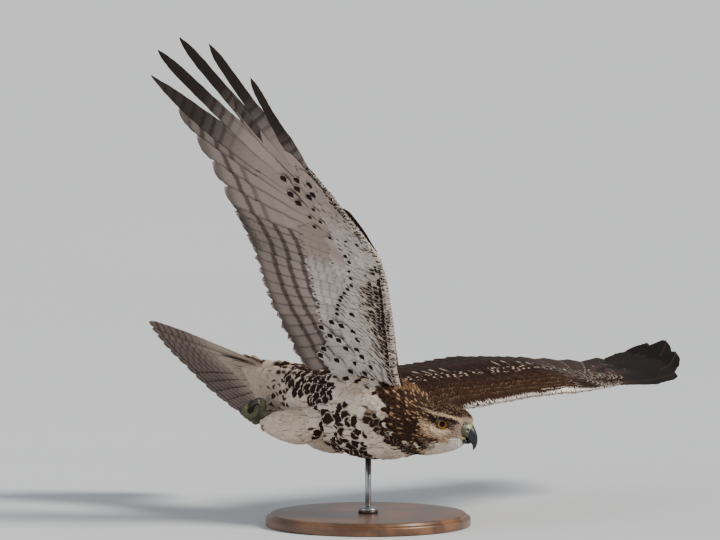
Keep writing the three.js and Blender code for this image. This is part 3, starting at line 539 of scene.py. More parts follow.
def near_line(a, c, line, width):
    """1 on a line of points in the side view of the head, falling to 0 at width from it."""
    best = np.full(len(a), 1e9)
    for (a0, c0), (a1, c1) in zip(line, line[1:]):
        t = np.clip(((a - a0) * (a1 - a0) + (c - c0) * (c1 - c0)) / ((a1 - a0) ** 2 + (c1 - c0) ** 2), 0, 1)
        best = np.minimum(best, np.hypot(a - a0 - t * (a1 - a0), c - c0 - t * (c1 - c0)))
    return 1 - smooth(width * 0.55, width * 1.25, best)


SUPERCILIUM = [[-38, 15], [-22, 15.6], [0, 14.2], [16, 10.2], [26, 5.6]]
# A dark line over the eye: partly its own dark skin, partly the brow's shadow painted on
EYE_LINE_AND_BROW_SHADE = [[-15, 7], [-4, 10.4], [5, 9.2], [12, 7], [17, 4]]
# Grey-brown before the eye: partly the lores' own grey, partly painted shade under the brow
LORE_PATCH_AND_SHADE = [[12, 4], [18, -4]]
UNDER_EYE = [[-12, -6], [-3, -11], [8, -9]]
GAPE_SIDE = [[21, -2], [22, -10], [12, -14]]
MALAR = [[-40, -12], [-28, -16], [-14, -21], [-6, -22]]
CHEEK_EDGE = [[-58, -20], [-42, -25], [-28, -29], [-14, -28]]
BROWN_EDGE = [
    [-166, -60, 20, 54, 68, 80, 90, 102, 112, 130, 150, 166, 200],
    [0.5, 0.5, 0.5, 0.55, 0.45, 0.2, -0.08, -0.36, -0.5, -0.64, -0.54, -0.4, -0.3],
]
STRIPE = [[66, 75, 86, 96, 107, 118, 132, 150], [-0.26, -0.36, -0.46, -0.54, -0.6, -0.66, -0.74, -0.84]]
BAND_REAR = [[-57, -30, -17, -3, 17, 40], [-26, -20, -66, -98, -138, -150]]
BAND_FRONT = [[-57, -34, -20, -4, 14, 26, 40], [58, 62, 40, 14, -6, -24, -40]]
BREAST_SPOTS = np.array([
    [16, -6], [31, -12], [39, -21], [51, -13], [64, -7], [43, 14], [58, 12], [48, 31], [72, 17], [66, -34],
    [2, 20],
])
# Share of grey-buff laid over the cream of the rump, the under-tail coverts and the tail's root below, as
# painted shade
RUMP_SHADE = 0.55
TUFT = np.array([86, 28, 44])


def blotches(points, size):
    """A smooth random field from 0 to 1 over the bird, with patches about size millimetres across."""
    field = np.zeros(len(points))
    wave = np.random.default_rng(SEED + 4)
    for _ in range(8):
        way = unit(wave.normal(0, 1, 3)) * math.pi / size * wave.uniform(0.7, 1.4)
        field += np.sin(points @ way + wave.uniform(0, 2 * math.pi))
    return 0.5 + 0.5 * np.clip(field / 3.2, -1, 1)


def head_marks(points, random):
    """Colours of the head by its own places: a ahead, b aside, c up, from midway between the eyes."""
    a, b, c = bird_to_head(points).T
    second = np.modf(random * 37.7)[0]
    streaked = second < 0.5
    marks = Marks(
        ground=mix(mix(BROWN, RUFOUS, 0.2), DARK, 0.7 * random[:, None]),
        ink=np.where(streaked[:, None], mix(CREAM, BUFF, 0.5), DARK),
        width=np.where(streaked, 0.15 + 0.05 * smooth(-10, -40, a), 0.6),
        start=np.full(len(a), 0.15), end=np.full(len(a), 0.97),
    )
    side = smooth(5, 11, np.abs(b))
    face = smooth(5, -3, c + 0.25 * (a + 12)) * smooth(-42, -28, a)
    brow = near_line(a, c, SUPERCILIUM, 2.3) * side * smooth(-38, -12, a)
    forehead = smooth(19, 26, a) * smooth(-6, 0, c) * smooth(13, 7, c)
    under_eye = near_line(a, c, UNDER_EYE, 4.0)
    # Before the eye: partly the lores' own grey, partly painted shade under the brow
    lores_and_shade = near_line(a, c, LORE_PATCH_AND_SHADE, 6.0) * side
    # Dark over the eye: partly its own dark skin line, partly painted shadow of the brow
    eye_line_and_brow_shade = near_line(a, c, EYE_LINE_AND_BROW_SHADE, 2.4) * side
    gape = near_line(a, c, GAPE_SIDE, 4.5) * side
    malar = near_line(a, c, MALAR, 3.4) * side * 0.85
    throat = smooth(-23, -27, c) * smooth(-30, -14, a)
    cheek = near_line(a, c, CHEEK_EDGE, 7.6) * side * (1 - 0.55 * smooth(-26, -12, a))
    chin = smooth(-15, -18, c) * smooth(8, 14, a)
    for weight, ground, ink, width in (
        (face, mix(CREAM, BUFF, 0.62), mix(BROWN, DARK, 0.4), np.where(second < 0.7, 0.3, 0.06)),
        (brow, mix(CREAM, BUFF, 0.45), BROWN, 0.14),
        (forehead, mix(CREAM, BUFF, 0.15), BROWN, 0.3),
        (under_eye, mix(CREAM, BUFF, 0.25), BUFF, 0.1),
        (lores_and_shade, mix(GREY, BUFF, 0.25), DARK, 0.35),
        (eye_line_and_brow_shade, mix(DARK, GREY, 0.15), BLACK, 0.7),
        (gape, mix(GREY_BUFF, BUFF, 0.3), GREY, 0.25),
        (malar, mix(BROWN, BUFF, 0.2), DARK, np.where(second < 0.6, 0.8, 0.25)),
        (throat, mix(WHITE, CREAM, 0.6), GREY_BUFF, 0.1),
        (cheek, mix(DARK, BROWN, 0.65), BLACK, np.where(second < 0.6, 0.8, 0.2)),
        (chin, WHITE, mix(GREY, BROWN, 0.5), 0.16),
    ):
        marks.paint(weight, ground=ground, ink=ink, width=width)
    return marks


def body_marks(points, node, random):
    """Colours of torso, neck and legs: brown above, cream below with teardrops and a dark belly band."""
    along, share, _, _ = on_line(points)
    x, _, z = points.T
    second = np.modf(random * 37.7)[0]
    third = np.modf(random * 91.3)[0]
    own = third[:, None]
    brown = smooth(-0.09, 0.09, share - np.interp(along, *BROWN_EDGE) + 0.4 * (second - 0.5))
    jitter = 22 * (third - 0.5)
    behind = x - np.interp(z, *BAND_REAR) + jitter
    before = np.interp(z, *BAND_FRONT) - x + jitter
    band = smooth(-8, 6, behind) * smooth(-7, 7, before)
    spot_gap = np.linalg.norm(points[:, None, [0, 2]] - BREAST_SPOTS[None], axis=2).min(1)
    patch = blotches(points, 15)
    heavy = np.where(second < 0.5 + 0.65 * patch, 0.75 + 0.5 * patch, 0.1)
    marks = Marks(
        ground=mix(WHITE, CREAM, 0.3 + 0.6 * own), ink=mix(mix(DARK, BROWN, 0.3), BLACK, 0.55 * own),
        width=mix(0.66 * smooth(5.6, 4.4, spot_gap), heavy, band), start=mix(0.4, 0.15, band),
        end=mix(0.93, 0.95, brown),
    )
    # The rear of the body is greyed towards grey-buff as painted shade
    marks.paint(0.9 * smooth(-95, -140, x), ground=mix(CREAM, GREY_BUFF, RUMP_SHADE))
    streak = np.where(second < 0.65, 0.36 + 0.14 * third, 0.0) * smooth(-170, -140, along)
    marks.paint(smooth(2, -14, behind), width=streak, start=0.35)
    stripe = smooth(0.2, 0.1, np.abs(share - np.interp(along, *STRIPE)))
    stripe = stripe * smooth(60, 72, along) * (node != 2)
    marks.paint(stripe, width=np.where(second < 0.85, 1.1, 0.3), start=0.1)
    marks.paint(0.75 * stripe, ground=mix(BROWN, BUFF, 0.3))
    back = smooth(70, 30, along)
    on_back = back[:, None]
    streaked = second < 0.26 + 0.3 * blotches(points, 24)
    nape_ink = np.where(streaked[:, None], mix(CREAM, BUFF, 0.35 + 0.6 * own), DARK)
    marks.paint(
        brown,
        ground=mix(mix(mix(BROWN, BUFF, 0.15), DARK, 0.7 * own), mix(BROWN, BUFF, 0.3), on_back),
        ink=mix(nape_ink, mix(DARK, BLACK, 0.3), on_back),
        width=mix(np.where(streaked, 0.16 + 0.16 * third, 0.6), 0.84, back), start=mix(0.15, 0.05, back),
    )
    tuft = smooth(24, 14, np.linalg.norm(np.abs(points) - TUFT, axis=1)) * (node < 2) * (z > 0)
    marks.paint(tuft, ground=mix(BROWN, BUFF, 0.25 + 0.45 * own), ink=mix(BROWN, DARK, 0.5))
    leg = ((node > 2) & (share < 0.3)) * smooth(-8, -34, along + 10 * third)
    marks.paint(leg, ground=mix(WHITE, CREAM, 0.55 + 0.5 * own), width=np.where(second < 0.12, 0.12, 0.0))
    return marks


def tone(marks, share):
    """The one colour that ground and ink make together, a little darker, for the skin under feathers."""
    return mix(marks["ground"], marks["ink"], np.clip(marks["width"], 0, 1)[:, None] * share) * 0.8


def skin_marks(points, node):
    random = np.full(len(points), 0.5)
    on_head = (node == 2)[:, None]
    both = (head_marks(points, random), body_marks(points, node, random))
    return np.where(on_head, *(tone(marks, 0.7) for marks in both))


COAT_DEPTH = [[-166, -140, 60, 100, 140, 175, 190, 205], [3.0, 3.8, 3.8, 3.4, 2.6, 1.6, 1.1, 0.9]]


def flesh_piece():
    """The skin, sunk below the coat's surface, and what the coat needs to know of it."""
    mesh = flesh()
    points, normal = mesh_arrays(mesh)
    node = nearest_node(points)
    depth = np.where(node > 2, 2.8, np.interp(on_line(points)[0], *COAT_DEPTH))
    head = bird_to_head(points)
    depth = mix(depth, 0.9, smooth(-16, 2, head[:, 0]) * (node == 2))
    near_bill = smooth(24.5, 27.5, head[:, 0]) * smooth(7.5, 4.0, head[:, 2]) * (node == 2)
    shrunk = head * np.stack([1 - 0.06 * near_bill, 1 - 0.5 * near_bill, 1 - 0.35 * near_bill], 1)
    shrunk[:, 2] -= 8 * 0.35 * near_bill
    points = np.where(near_bill[:, None] > 0, head_to_bird(shrunk), points)
    points[:, 0] -= 0.4 * np.minimum(points[:, 0] - THIGH_END, 0) * (node > 2)
    sunk = points - normal * depth[:, None]
    mesh.vertices.foreach_set("co", to_part(sunk).astype(np.float32).ravel())
    mesh.update()
    colour = mesh.attributes.new("ground", "FLOAT_VECTOR", "POINT")
    colour.data.foreach_set("vector", skin_marks(points, node).astype(np.float32).ravel())
    mesh.polygons.foreach_set("use_smooth", np.full(len(mesh.polygons), True))
    mesh.name = "skin"
    return link(bpy.data.objects.new("skin", mesh)), sunk, normal, node, depth


def thinned(points, spacing):
    """Indices of points kept so that none is nearer to another than its spacing, in a seeded order."""
    tree = KDTree(len(points))
    for i, p in enumerate(points):
        tree.insert(p, i)
    tree.balance()
    free = np.ones(len(points), bool)
    kept = []
    for i in draw.permutation(len(points)):
        if not free[i]:
            continue
        kept.append(i)
        for _, k, _ in tree.find_range(points[i], spacing[i]):
            free[k] = False
    return np.array(kept)


def coat(name, root, normal, lie, length, half, rise, marks, unwrap, tree, rows, columns, fluff, free):
    """Contour feathers on the skin. Each bends from its root to a tip that lies on the coat's surface."""
    count = len(root)
    lie = unit(lie - normal * (lie * normal).sum(1, keepdims=True))
    lie = unit(lie + np.cross(normal, lie) * draw.normal(0, fluff, count)[:, None])
    reach = root + lie * length[:, None]
    found = [tree.find_nearest(Vector(p))[:2] for p in to_part(reach)]
    tip, tip_normal = (np.array(part, float) for part in zip(*found))
    tip = mix(from_part(tip), reach, free[:, None])
    tip_normal = unit(tip_normal @ BIRD + 1e-6)
    tip_normal = np.where(((tip_normal * normal).sum(1) < 0.2)[:, None], normal, tip_normal)
    lift = rise * draw.uniform(0.8, 1.08, count)
    start = root - normal * 0.6
    end = tip + tip_normal * lift[:, None]
    middle = (start + end) / 2 + unit(normal + tip_normal) * (0.3 * lift + 0.012 * length)[:, None]
    s = shares(rows, 1.2)[None, :, None, None]
    c = np.linspace(-1, 1, columns)[None, None, :, None]
    p0, p1, p2 = (x[:, None, None, :] for x in (start, middle, end))
    centre = (1 - s) ** 2 * p0 + 2 * s * (1 - s) * p1 + s ** 2 * p2
    slope = unit(2 * (1 - s) * (p1 - p0) + 2 * s * (p2 - p1))
    facing = unit((1 - s) * normal[:, None, None, :] + s * tip_normal[:, None, None, :])
    across = unit(np.cross(facing, slope))
    up = np.cross(slope, across)
    long, wide = (x[:, None, None, None] for x in (length, half))
    width = outline(shares(rows, 1.2), BODY_SHAPE)[None, :, None, None] * wide
    ragged = draw.uniform(0, 0.17, (count, 1, columns, 1)) * smooth(0.7, 1, s) * long
    round_tip = 0.05 * c ** 2 * smooth(0.75, 1, s) * long
    flat = centre + across * c * width - slope * (ragged + round_tip)
    crown = 0.16 * wide * c ** 2
    body = 0.28 * (1 - c ** 2) * (1 - 0.5 * s)
    s, c, long, wide = (x[..., 0] for x in (s, c, long, wide))
    layer = plume_layers(s, c, draw.random(count), s * long, wide, marks)
    uv = patches(unwrap[:, 0], unwrap[:, 1], rows, columns)
    return assemble(name, flat + up * (body - crown), flat - up * (body + crown), paired(layer, layer), uv)


# Wings


def wing_frame(wing):
    """The wing's own directions: out, back and up."""
    d, t, y = (math.radians(wing[k]) for k in ("dihedral", "twist", "yaw"))
    out = np.array([0, math.cos(d), math.sin(d)])
    up = np.array([0, -math.sin(d), math.cos(d)])
    back = np.array([-1.0, 0, 0])
    back, up = back * math.cos(t) - up * math.sin(t), up * math.cos(t) + back * math.sin(t)
    out, back = out * math.cos(y) + back * math.sin(y), back * math.cos(y) - out * math.sin(y)
    mirror = np.array([1, wing["side"], 1])
    return out * mirror, back * mirror, up * mirror


def wing_height(wing, u, v):
    """Rise of the wing's middle surface over its plane."""
    lead = np.interp(u, *WING_LEAD)
    q = np.clip((v - lead) / (np.interp(u, *WING_TRAIL) - lead), 0, 1)
    arch = np.interp(u, *CAMBER) * np.sin(math.pi * q ** 0.75)
    return arch + np.interp(u, *wing["hump"]) - v * np.tan(np.radians(np.interp(u, *wing["wash"])))


def on_plane(origin, directions, u, v, height):
    """Places from their distances along three directions."""
    parts = np.broadcast_arrays(u, v, height)
    u, v, height = (part[..., None] * way for part, way in zip(parts, directions))
    return origin + u + v + height


def wing_point(wing, u, v, height):
    """A place in the bird's frame, u out and v back in the wing's plane, height over its middle surface."""
    u, v, height = np.broadcast_arrays(u, v, height)
    shoulder = SHOULDER * [1, wing["side"], 1]
    return on_plane(shoulder, wing_frame(wing), u, v, wing_height(wing, u, v) + height)


def core_half_depth(u, v):
    """Half the thickness of the wing's fleshy front at a place in its plane."""
    lead = np.interp(u, *WING_LEAD)
    half = (np.interp(u, *WING_TRAIL) - lead) * np.interp(u, CORE_U, CORE_CHORD) / 2
    cos = np.clip((v - lead) / half - 1, -1, 1)
    depth = np.interp(u, CORE_U, CORE_DEPTH)
    return depth * (0.72 - 0.4 * cos) * np.sqrt(1 - cos ** 2) * smooth(330, 290, u)


def covered_depth(u, v):
    """Height of the larger coverts' surface, on which the small ones lie behind the fleshy front."""
    full = np.interp(u, [0, 190, 215, 330], [7.6, 7.6, 4.6, 3.6])
    return full * smooth(2, 24, v - np.interp(u, *WING_LEAD))


def sheet_vanes(name, place, specs, rows, columns, colours, side=1):
    """Large vanes laid on a surface.

    colours says what a face shows. It gets the face, each point's two shares, its distance from the tip,
    the specs, a random number for each vane, and the points' places on the surface.
    """
    count = len(specs)
    pick = lambda key, base=0.0: np.array([spec.get(key, base) for spec in specs], float)[:, None, None]
    root, tip = (np.array([spec[key] for spec in specs], float) for key in ("root", "tip"))
    reach = tip - root
    length = np.linalg.norm(reach, axis=1)[:, None, None]
    across = unit(np.stack([-reach[:, 1], reach[:, 0]], 1))
    s = shares(rows)[None, :, None]
    c = np.asarray(columns)[None, None, :]
    half = pick("half")
    width = np.stack([outline(shares(rows), spec["shape"]) for spec in specs])[:, :, None] * half
    lean = pick("lean")
    worn = 1 + 0.03 * draw.normal(0, 1, (count, rows, 1)) * (np.abs(c) == 1)
    aside = (c + lean * np.abs(c) - lean) * width * worn
    arch = 4 * pick("bow") * s * (1 - s)
    ragged = pick("ragged", 0.012) * draw.uniform(0, 1, (count, 1, len(columns))) * smooth(0.86, 1, s)
    ahead = s - ragged - 0.04 * c ** 2 * smooth(0.8, 1, s) * (half / length) * 3
    flat = (root[:, None, None, :] + reach[:, None, None, :] * ahead[..., None]
            + across[:, None, None, :] * (aside + arch)[..., None])
    rise = pick("height") - aside * np.tan(np.radians(pick("tilt", VANE_TILT)))
    rise = rise + pick("root_height") * (1 - smooth(0, 0.85, s))
    crown = 0.04 * half * c ** 2
    thick = 0.22 * (1 - np.abs(c)) + np.exp(-((c / 0.05) ** 2)) * mix(pick("shaft", 1.1), 0.15, s)
    wave = 0.12 * np.sin(pick("phase") * 9 + s * 14) * np.abs(c)
    middle = rise - pick("face", 1) * crown + wave
    random = draw.random(count)
    made = []
    for face in (1, -1):
        marks = colours(face, s, c, length - s * length, specs, random, flat)
        layer = plume_layers(s, c, random, s * length, half, marks)
        made.append((place(flat[..., 0], flat[..., 1], middle + face * thick), layer))
    (top, over), (under, below) = made[::side]
    return assemble(name, top, under, paired(over, below), cells(count, rows, len(columns)))


FLIGHT_COLUMNS = [-1, -0.72, -0.4, -0.14, -0.06, 0, 0.06, 0.14, 0.3, 0.5, 0.7, 0.86, 1]
COVERT_COLUMNS = [-1, -0.6, -0.25, -0.07, 0, 0.07, 0.25, 0.6, 1]


def arm_flight_specs():
    """Tertials and secondaries, from the body outwards."""
    specs = []
    count = SECONDARIES + TERTIALS
    for i in range(count):
        outer = (i - TERTIALS) / (SECONDARIES - 0.6)
        root = mix([62, 6], ELBOW, i / TERTIALS) if i < TERTIALS else mix(ELBOW, WRIST, outer)
        tip_u = 26 + 260 * (i / (count - 1))
        specs.append({
            "root": root, "tip": [tip_u, np.interp(tip_u, *WING_TRAIL) + (i % 2) * 1.5], "half": 16.5,
            "shape": FLIGHT_SHAPE, "bow": 3, "lean": 0.4, "phase": draw.random(), "ragged": 0.03, "kind": 0,
        })
    return specs


PRIMARY_HALF_WIDTH = [18, 18, 18, 18, 18, 17, 16, 15, 15, 12]
BAR_STEP = 21.0
TIP_BAR_STEP = 16.0


def hand_flight_specs(wing):
    """Primaries, the outer ones spread as fingers: pointed on the right wing, blunt on the left."""
    specs = []
    tips = wing["tips"]
    blunt = wing["side"] > 0
    for i, tip in enumerate(tips):
        finger = i >= (FINGERS_FROM if blunt else FINGERS_FROM - 1)
        narrow = LOBE_SHAPE if blunt else (POINT_SHAPE if i < FINGERS_FROM else FINGER_SHAPE)
        specs.append({
            "root": mix([204, -72], HAND_END, i / (len(tips) - 1)), "tip": tip,
            "half": PRIMARY_HALF_WIDTH[i] * (wing["finger_width"] if finger else 1.2),
            "shape": narrow if finger else FLIGHT_SHAPE, "bow": 6 if finger else 1, "lean": 0.45,
            "phase": draw.random(), "kind": 1, "dark": wing["dark"][i], "shaft": 1.4,
            "tilt": wing["finger_tilt"] if i >= FINGERS_FROM else VANE_TILT,
        })
    return specs


def flight_colours(face, s, c, end, specs, random, flat):
    """Flight feathers: barred grey-buff below, the grey partly painted shade, dark brown with darker bars
    above, the outer tips black.
    """
    kind = np.array([spec["kind"] for spec in specs])[:, None, None]
    tipped = np.array([spec.get("dark", 0) for spec in specs])[:, None, None]
    shape = (len(specs), s.shape[1], c.shape[2])
    own = random[:, None, None]
    inside = np.interp(flat[..., 0], *WING_TRAIL) - flat[..., 1]
    band_at = mix(inside, end, np.clip(kind * (0.2 + tipped), 0, 1))
    phase = mix(band_at / BAR_STEP, end / TIP_BAR_STEP, tipped) + 0.16 * own - 0.22 * c
    black = tipped * smooth(185, 75, end)
    rim = smooth(3.0, 0.8, end) * (1 - tipped)
    if face < 0:
        # The grey-buff ground below: partly the feathers' own pale grey, partly painted shade
        ground = mix(GREY_BUFF, WHITE, 0.12)
        band = smooth(21, 10, band_at + 5 * own) * smooth(0.5, 3, end) * mix(0.7, 0.5, kind) * (1 - tipped)
        seam = smooth(0.88, 0.98, np.abs(c)) * smooth(0.25, 0.5, s)
        coats = (
            (0.45 * smooth(90, 20, inside) * (1 - 0.4 * kind), GREY), (band, mix(DUSKY, DARK, 0.2)),
            (0.75 * seam, mix(GREY, DUSKY, 0.7)), (black, mix(DUSKY, BLACK, 0.55)), (0.5 * rim, WHITE),
        )
        on_arm = 0.14 + 0.6 * smooth(118, 84, inside)
        on_hand = 0.02 + 0.68 * smooth(mix(80, 170, tipped), mix(34, 110, tipped), band_at)
        bar = mix(on_arm, on_hand, kind) * smooth(15, 20, band_at + 40 * tipped)
        ink = mix(DUSKY, DARK, 0.7)
    else:
        ground = mix(mix(BROWN, DARK, 0.75), mix(BROWN, GREY, 0.22), (kind * 0.8)[..., None])
        edge = smooth(0.9, 0.99, -c) * kind * (1 - tipped) * 0.4
        coats = ((0.94 * black, BLACK), (np.maximum(0.4 * rim, edge), mix(WHITE, GREY, 0.5)))
        bar = 0.7 * smooth(0.05, 0.4, s)
        ink = mix(DARK, BLACK, 0.6)
    return {
        "ground": painted(ground, shape, coats), "ink": painted(ink, shape),
        "phase": phase, "share": np.full(shape, 0.35), "bar": bar,
    }


def covert_line(face, from_root, to_root, from_tip, to_tip, count, half, height, root_height):
    """A tier of coverts between two feathers, over or under the wing."""
    specs = []
    for t in np.arange(count) / (count - 1):
        specs.append({
            "root": mix(from_root, to_root, t),
            "tip": mix(from_tip, to_tip, t) + draw.normal(0, 1, 2) * 1.2,
            "half": half, "shape": COVERT_SHAPE, "lean": 0.1, "shaft": 0.45, "ragged": 0.04,
            "height": face * height, "root_height": -face * root_height, "face": face,
            "phase": draw.random(),
        })
    return specs


# Tiers of large coverts: first and last root, first and last tip, count, half-width, height, root's height
COVERT_TIERS = [
    ([6, 14], [30, 10], [-2, 82], [34, 92], 5, 10, 3.4, 1.5),
    ([-8, 4], [22, 4], [-14, 70], [26, 78], 6, 10, 5.6, 1.5),
    ([-10, -8], [24, -6], [-18, 44], [24, 52], 6, 9, 7.4, 1.5),
    ([30, 8], [196, -66], [26, 84], [246, 42], 17, 10, 3.2, 1.0),
    ([26, -8], [192, -74], [22, 52], [230, 0], 22, 8.5, 5.2, 1.5),
    ([22, -18], [188, -78], [18, 24], [212, -34], 24, 7.5, 7.0, 1.5),
    ([206, -74], [292, -38], [254, 22], [372, 0], 12, 8.5, 2.6, 0.8),
    ([204, -78], [286, -44], [238, -16], [342, -12], 13, 7, 4.0, 1.0),
]
THUMB_REACH = (40, 52, 62, 70)


def large_covert_specs(face):
    """Greater and median coverts of arm and hand, the feathers by the body, and the thumb's."""
    specs = [spec for tier in COVERT_TIERS for spec in covert_line(face, *tier)]
    for i, reach in enumerate(THUMB_REACH if face > 0 else ()):
        specs.append({
            "root": [206 + 2 * i, -74 - 2 * i], "tip": [210 + reach, -72 + reach * 0.38 - i * 3], "half": 7,
            "shape": COVERT_SHAPE, "height": 7.2 - i, "face": 1, "lean": 0.3, "shaft": 0.7,
            "phase": draw.random(), "ragged": 0.02,
        })
    return specs


# Dark marks under the wing, at places in its plane in millimetres
COMMA_SPOTS = [[328, 24], [327, 1], [320, -16], [304, 21], [291, 13], [300, -7], [306, -19], [312, 8]]
WRIST_SPOTS = [
    [278, -4], [265, 8], [258, -6], [249, 8], [232, -10], [228, -38], [227, -58], [205, -26], [196, -29],
    [180, -22], [168, -18], [156, -14], [150, -5], [143, 4], [137, 11], [131, 17], [124, 22], [117, 27],
    [110, 30],
]
AXILLAR_SPOTS = [
    [97, 45], [74, 59], [67, 47], [54, 41], [81, 17], [68, 17], [111, 4], [53, 21], [42, 18], [15, 25],
    [27, 10], [18, 47], [54, 76], [44, 85], [88, 66], [36, 62], [30, 34], [92, 30],
]


# Depth of the streaked front of the arm's underside
PATAGIUM = [[0, 49, 115, 160, 185, 200], [12, 28, 57, 52, 34, 8]]


def lining_marks(u, v, random, length, row=9):
    """Underwing coverts: white, spotted by the body and streaked along the arm's front, with a dark comma."""
    second = np.modf(random * 53.1)[0]
    off = v - np.interp(u, *WING_LEAD)
    # Each covert's white is greyed a little: partly its own grey mottling, partly painted shade
    own = 0.22 + 0.3 * np.modf(random * 17.9)[0]
    tick = smooth(96, 108, off) * smooth(230, 200, u) * smooth(40, 60, u)
    marks = Marks(
        ground=mix(WHITE, GREY_BUFF, own[:, None]), ink=np.tile(mix(DARK, BLACK, 0.3), (len(u), 1)),
        width=mix(np.where(second < 0.16, 0.2, 0.0), np.where(second < 0.75, 0.3, 0.0), tick),
        start=np.clip(1 - mix(13, 8, tick) / length, 0, 1),
    )
    marks.paint(smooth(190, 300, u) * 0.8, ground=GREY_BUFF)
    marks.paint(0.8 * (smooth(60, 88, off) * smooth(185, 215, u)), ground=mix(GREY_BUFF, BUFF, 0.08))
    zone = np.interp(u, *PATAGIUM)
    patagial = smooth(zone + 6, zone - 5, off + 8 * (second - 0.5))
    dense = smooth(zone, 0.35 * zone, off)
    marks.paint(patagial, width=np.where(second < 0.55 + 0.4 * dense, 0.7 + 0.3 * dense, 0.0), start=0.1)
    marks.paint(0.6 * patagial, ground=mix(CREAM, GREY_BUFF, 0.5))
    front = smooth(1.6, 0.6, row + 0 * u)
    marks.paint(front, ground=mix(WHITE, CREAM, 0.4), width=np.where(second < 0.55, 0.75, 0.0))
    return marks


def upper_marks(u, v, random, length, row=9):
    """Upper wing coverts: dark brown, with fine buff scales towards a white leading edge."""
    second = np.modf(random * 53.1)[0]
    own = random[:, None]
    off = v - np.interp(u, *WING_LEAD)
    front = smooth(60, 20, off)[:, None]
    on_hand = smooth(200, 260, u)[:, None]
    dark = mix(mix(BROWN, DARK, 0.85), mix(BROWN, DARK, 0.5), front)
    dark = mix(dark, mix(DARK, GREY, 0.12), on_hand * 0.8)
    rim = mix(mix(BROWN, DARK, 0.5), mix(BROWN, mix(BUFF, GREY_BUFF, 0.4), 0.42 * own), front)
    rim = mix(rim, mix(WHITE, GREY, 0.5), on_hand * 0.6)
    speckle = (second < 0.7) * smooth(60, 66, off) * smooth(156, 146, off)
    speckle = speckle + (second < 0.08) * smooth(40, 60, off)
    edge = (row < 0.5) * smooth(30, 50, u)
    flecked = speckle > 0.5
    flecks = flecked[:, None]
    start = mix(-0.4, np.interp(u, [150, 185, 240, 300], [0.02, 0.6, 0.6, 0.5]), edge)
    fleck_width = mix(0.2 + 0.35 * random, 0.1 + 0.14 * random, smooth(28, 40, length))
    return Marks(
        ground=np.where(flecks, dark, mix(rim, WHITE, edge[:, None])),
        ink=np.where(flecks, mix(mix(WHITE, CREAM, 0.6), BUFF, 0.6 * own), dark),
        width=np.where(flecked, fleck_width, 1.15), start=np.where(flecked, 0.6 + 0.2 * random, start),
    )


def covert_colours(face, s, c, end, specs, random, flat):
    """Marks of a covert by where its tip lies, the same on both of its faces."""
    u, v = np.array([spec["tip"] for spec in specs], float).T
    over = np.array([spec["face"] for spec in specs]) > 0
    length = end[:, 0, 0]
    above = upper_marks(u, v, random, length)
    below = lining_marks(u, v, random, length)
    choose = lambda one, other: np.where(over if one.ndim == 1 else over[:, None], one, other)
    marks = {key: choose(above[key], below[key]) for key in above}
    dusk = ~over & (v - np.interp(u, *WING_LEAD) > 96) & (u > 60) & (u < 300)
    faint = (dusk * smooth(250, 190, u) * 0.3)[:, None, None]
    return {
        **marks, "end": np.where(over, 0.965, 0.97), "phase": end / 13.0 + 0.1 * np.abs(c),
        "share": np.full(len(specs), 0.3), "bar": faint * smooth(60, 40, end),
    }


WORDS = {1: "upper", -1: "under"}
# The way small coverts lie, in degrees from straight back, along the upper and the under side
LEAN_U = [-20, 60, 109, 150, 192, 205, 250, 300, 340]
LEAN = {1: [-14, -12, -3, 10, 22, 28, 52, 72, 76], -1: [72, 62, 50, 44, 40, 44, 58, 72, 76]}


COVERT_ROWS = 15
ROW_STEP = [3.0, 3.4, 4.2, 5.2, 6.0, 6.6, 7.0, 7.4]
ROW_PACE = [[0, 190, 300], [6.8, 4.9, 3.8]]
ROW_REACH = [[0, 60, 190, 250, 300, 340], [66, 62, 58, 44, 34, 20]]


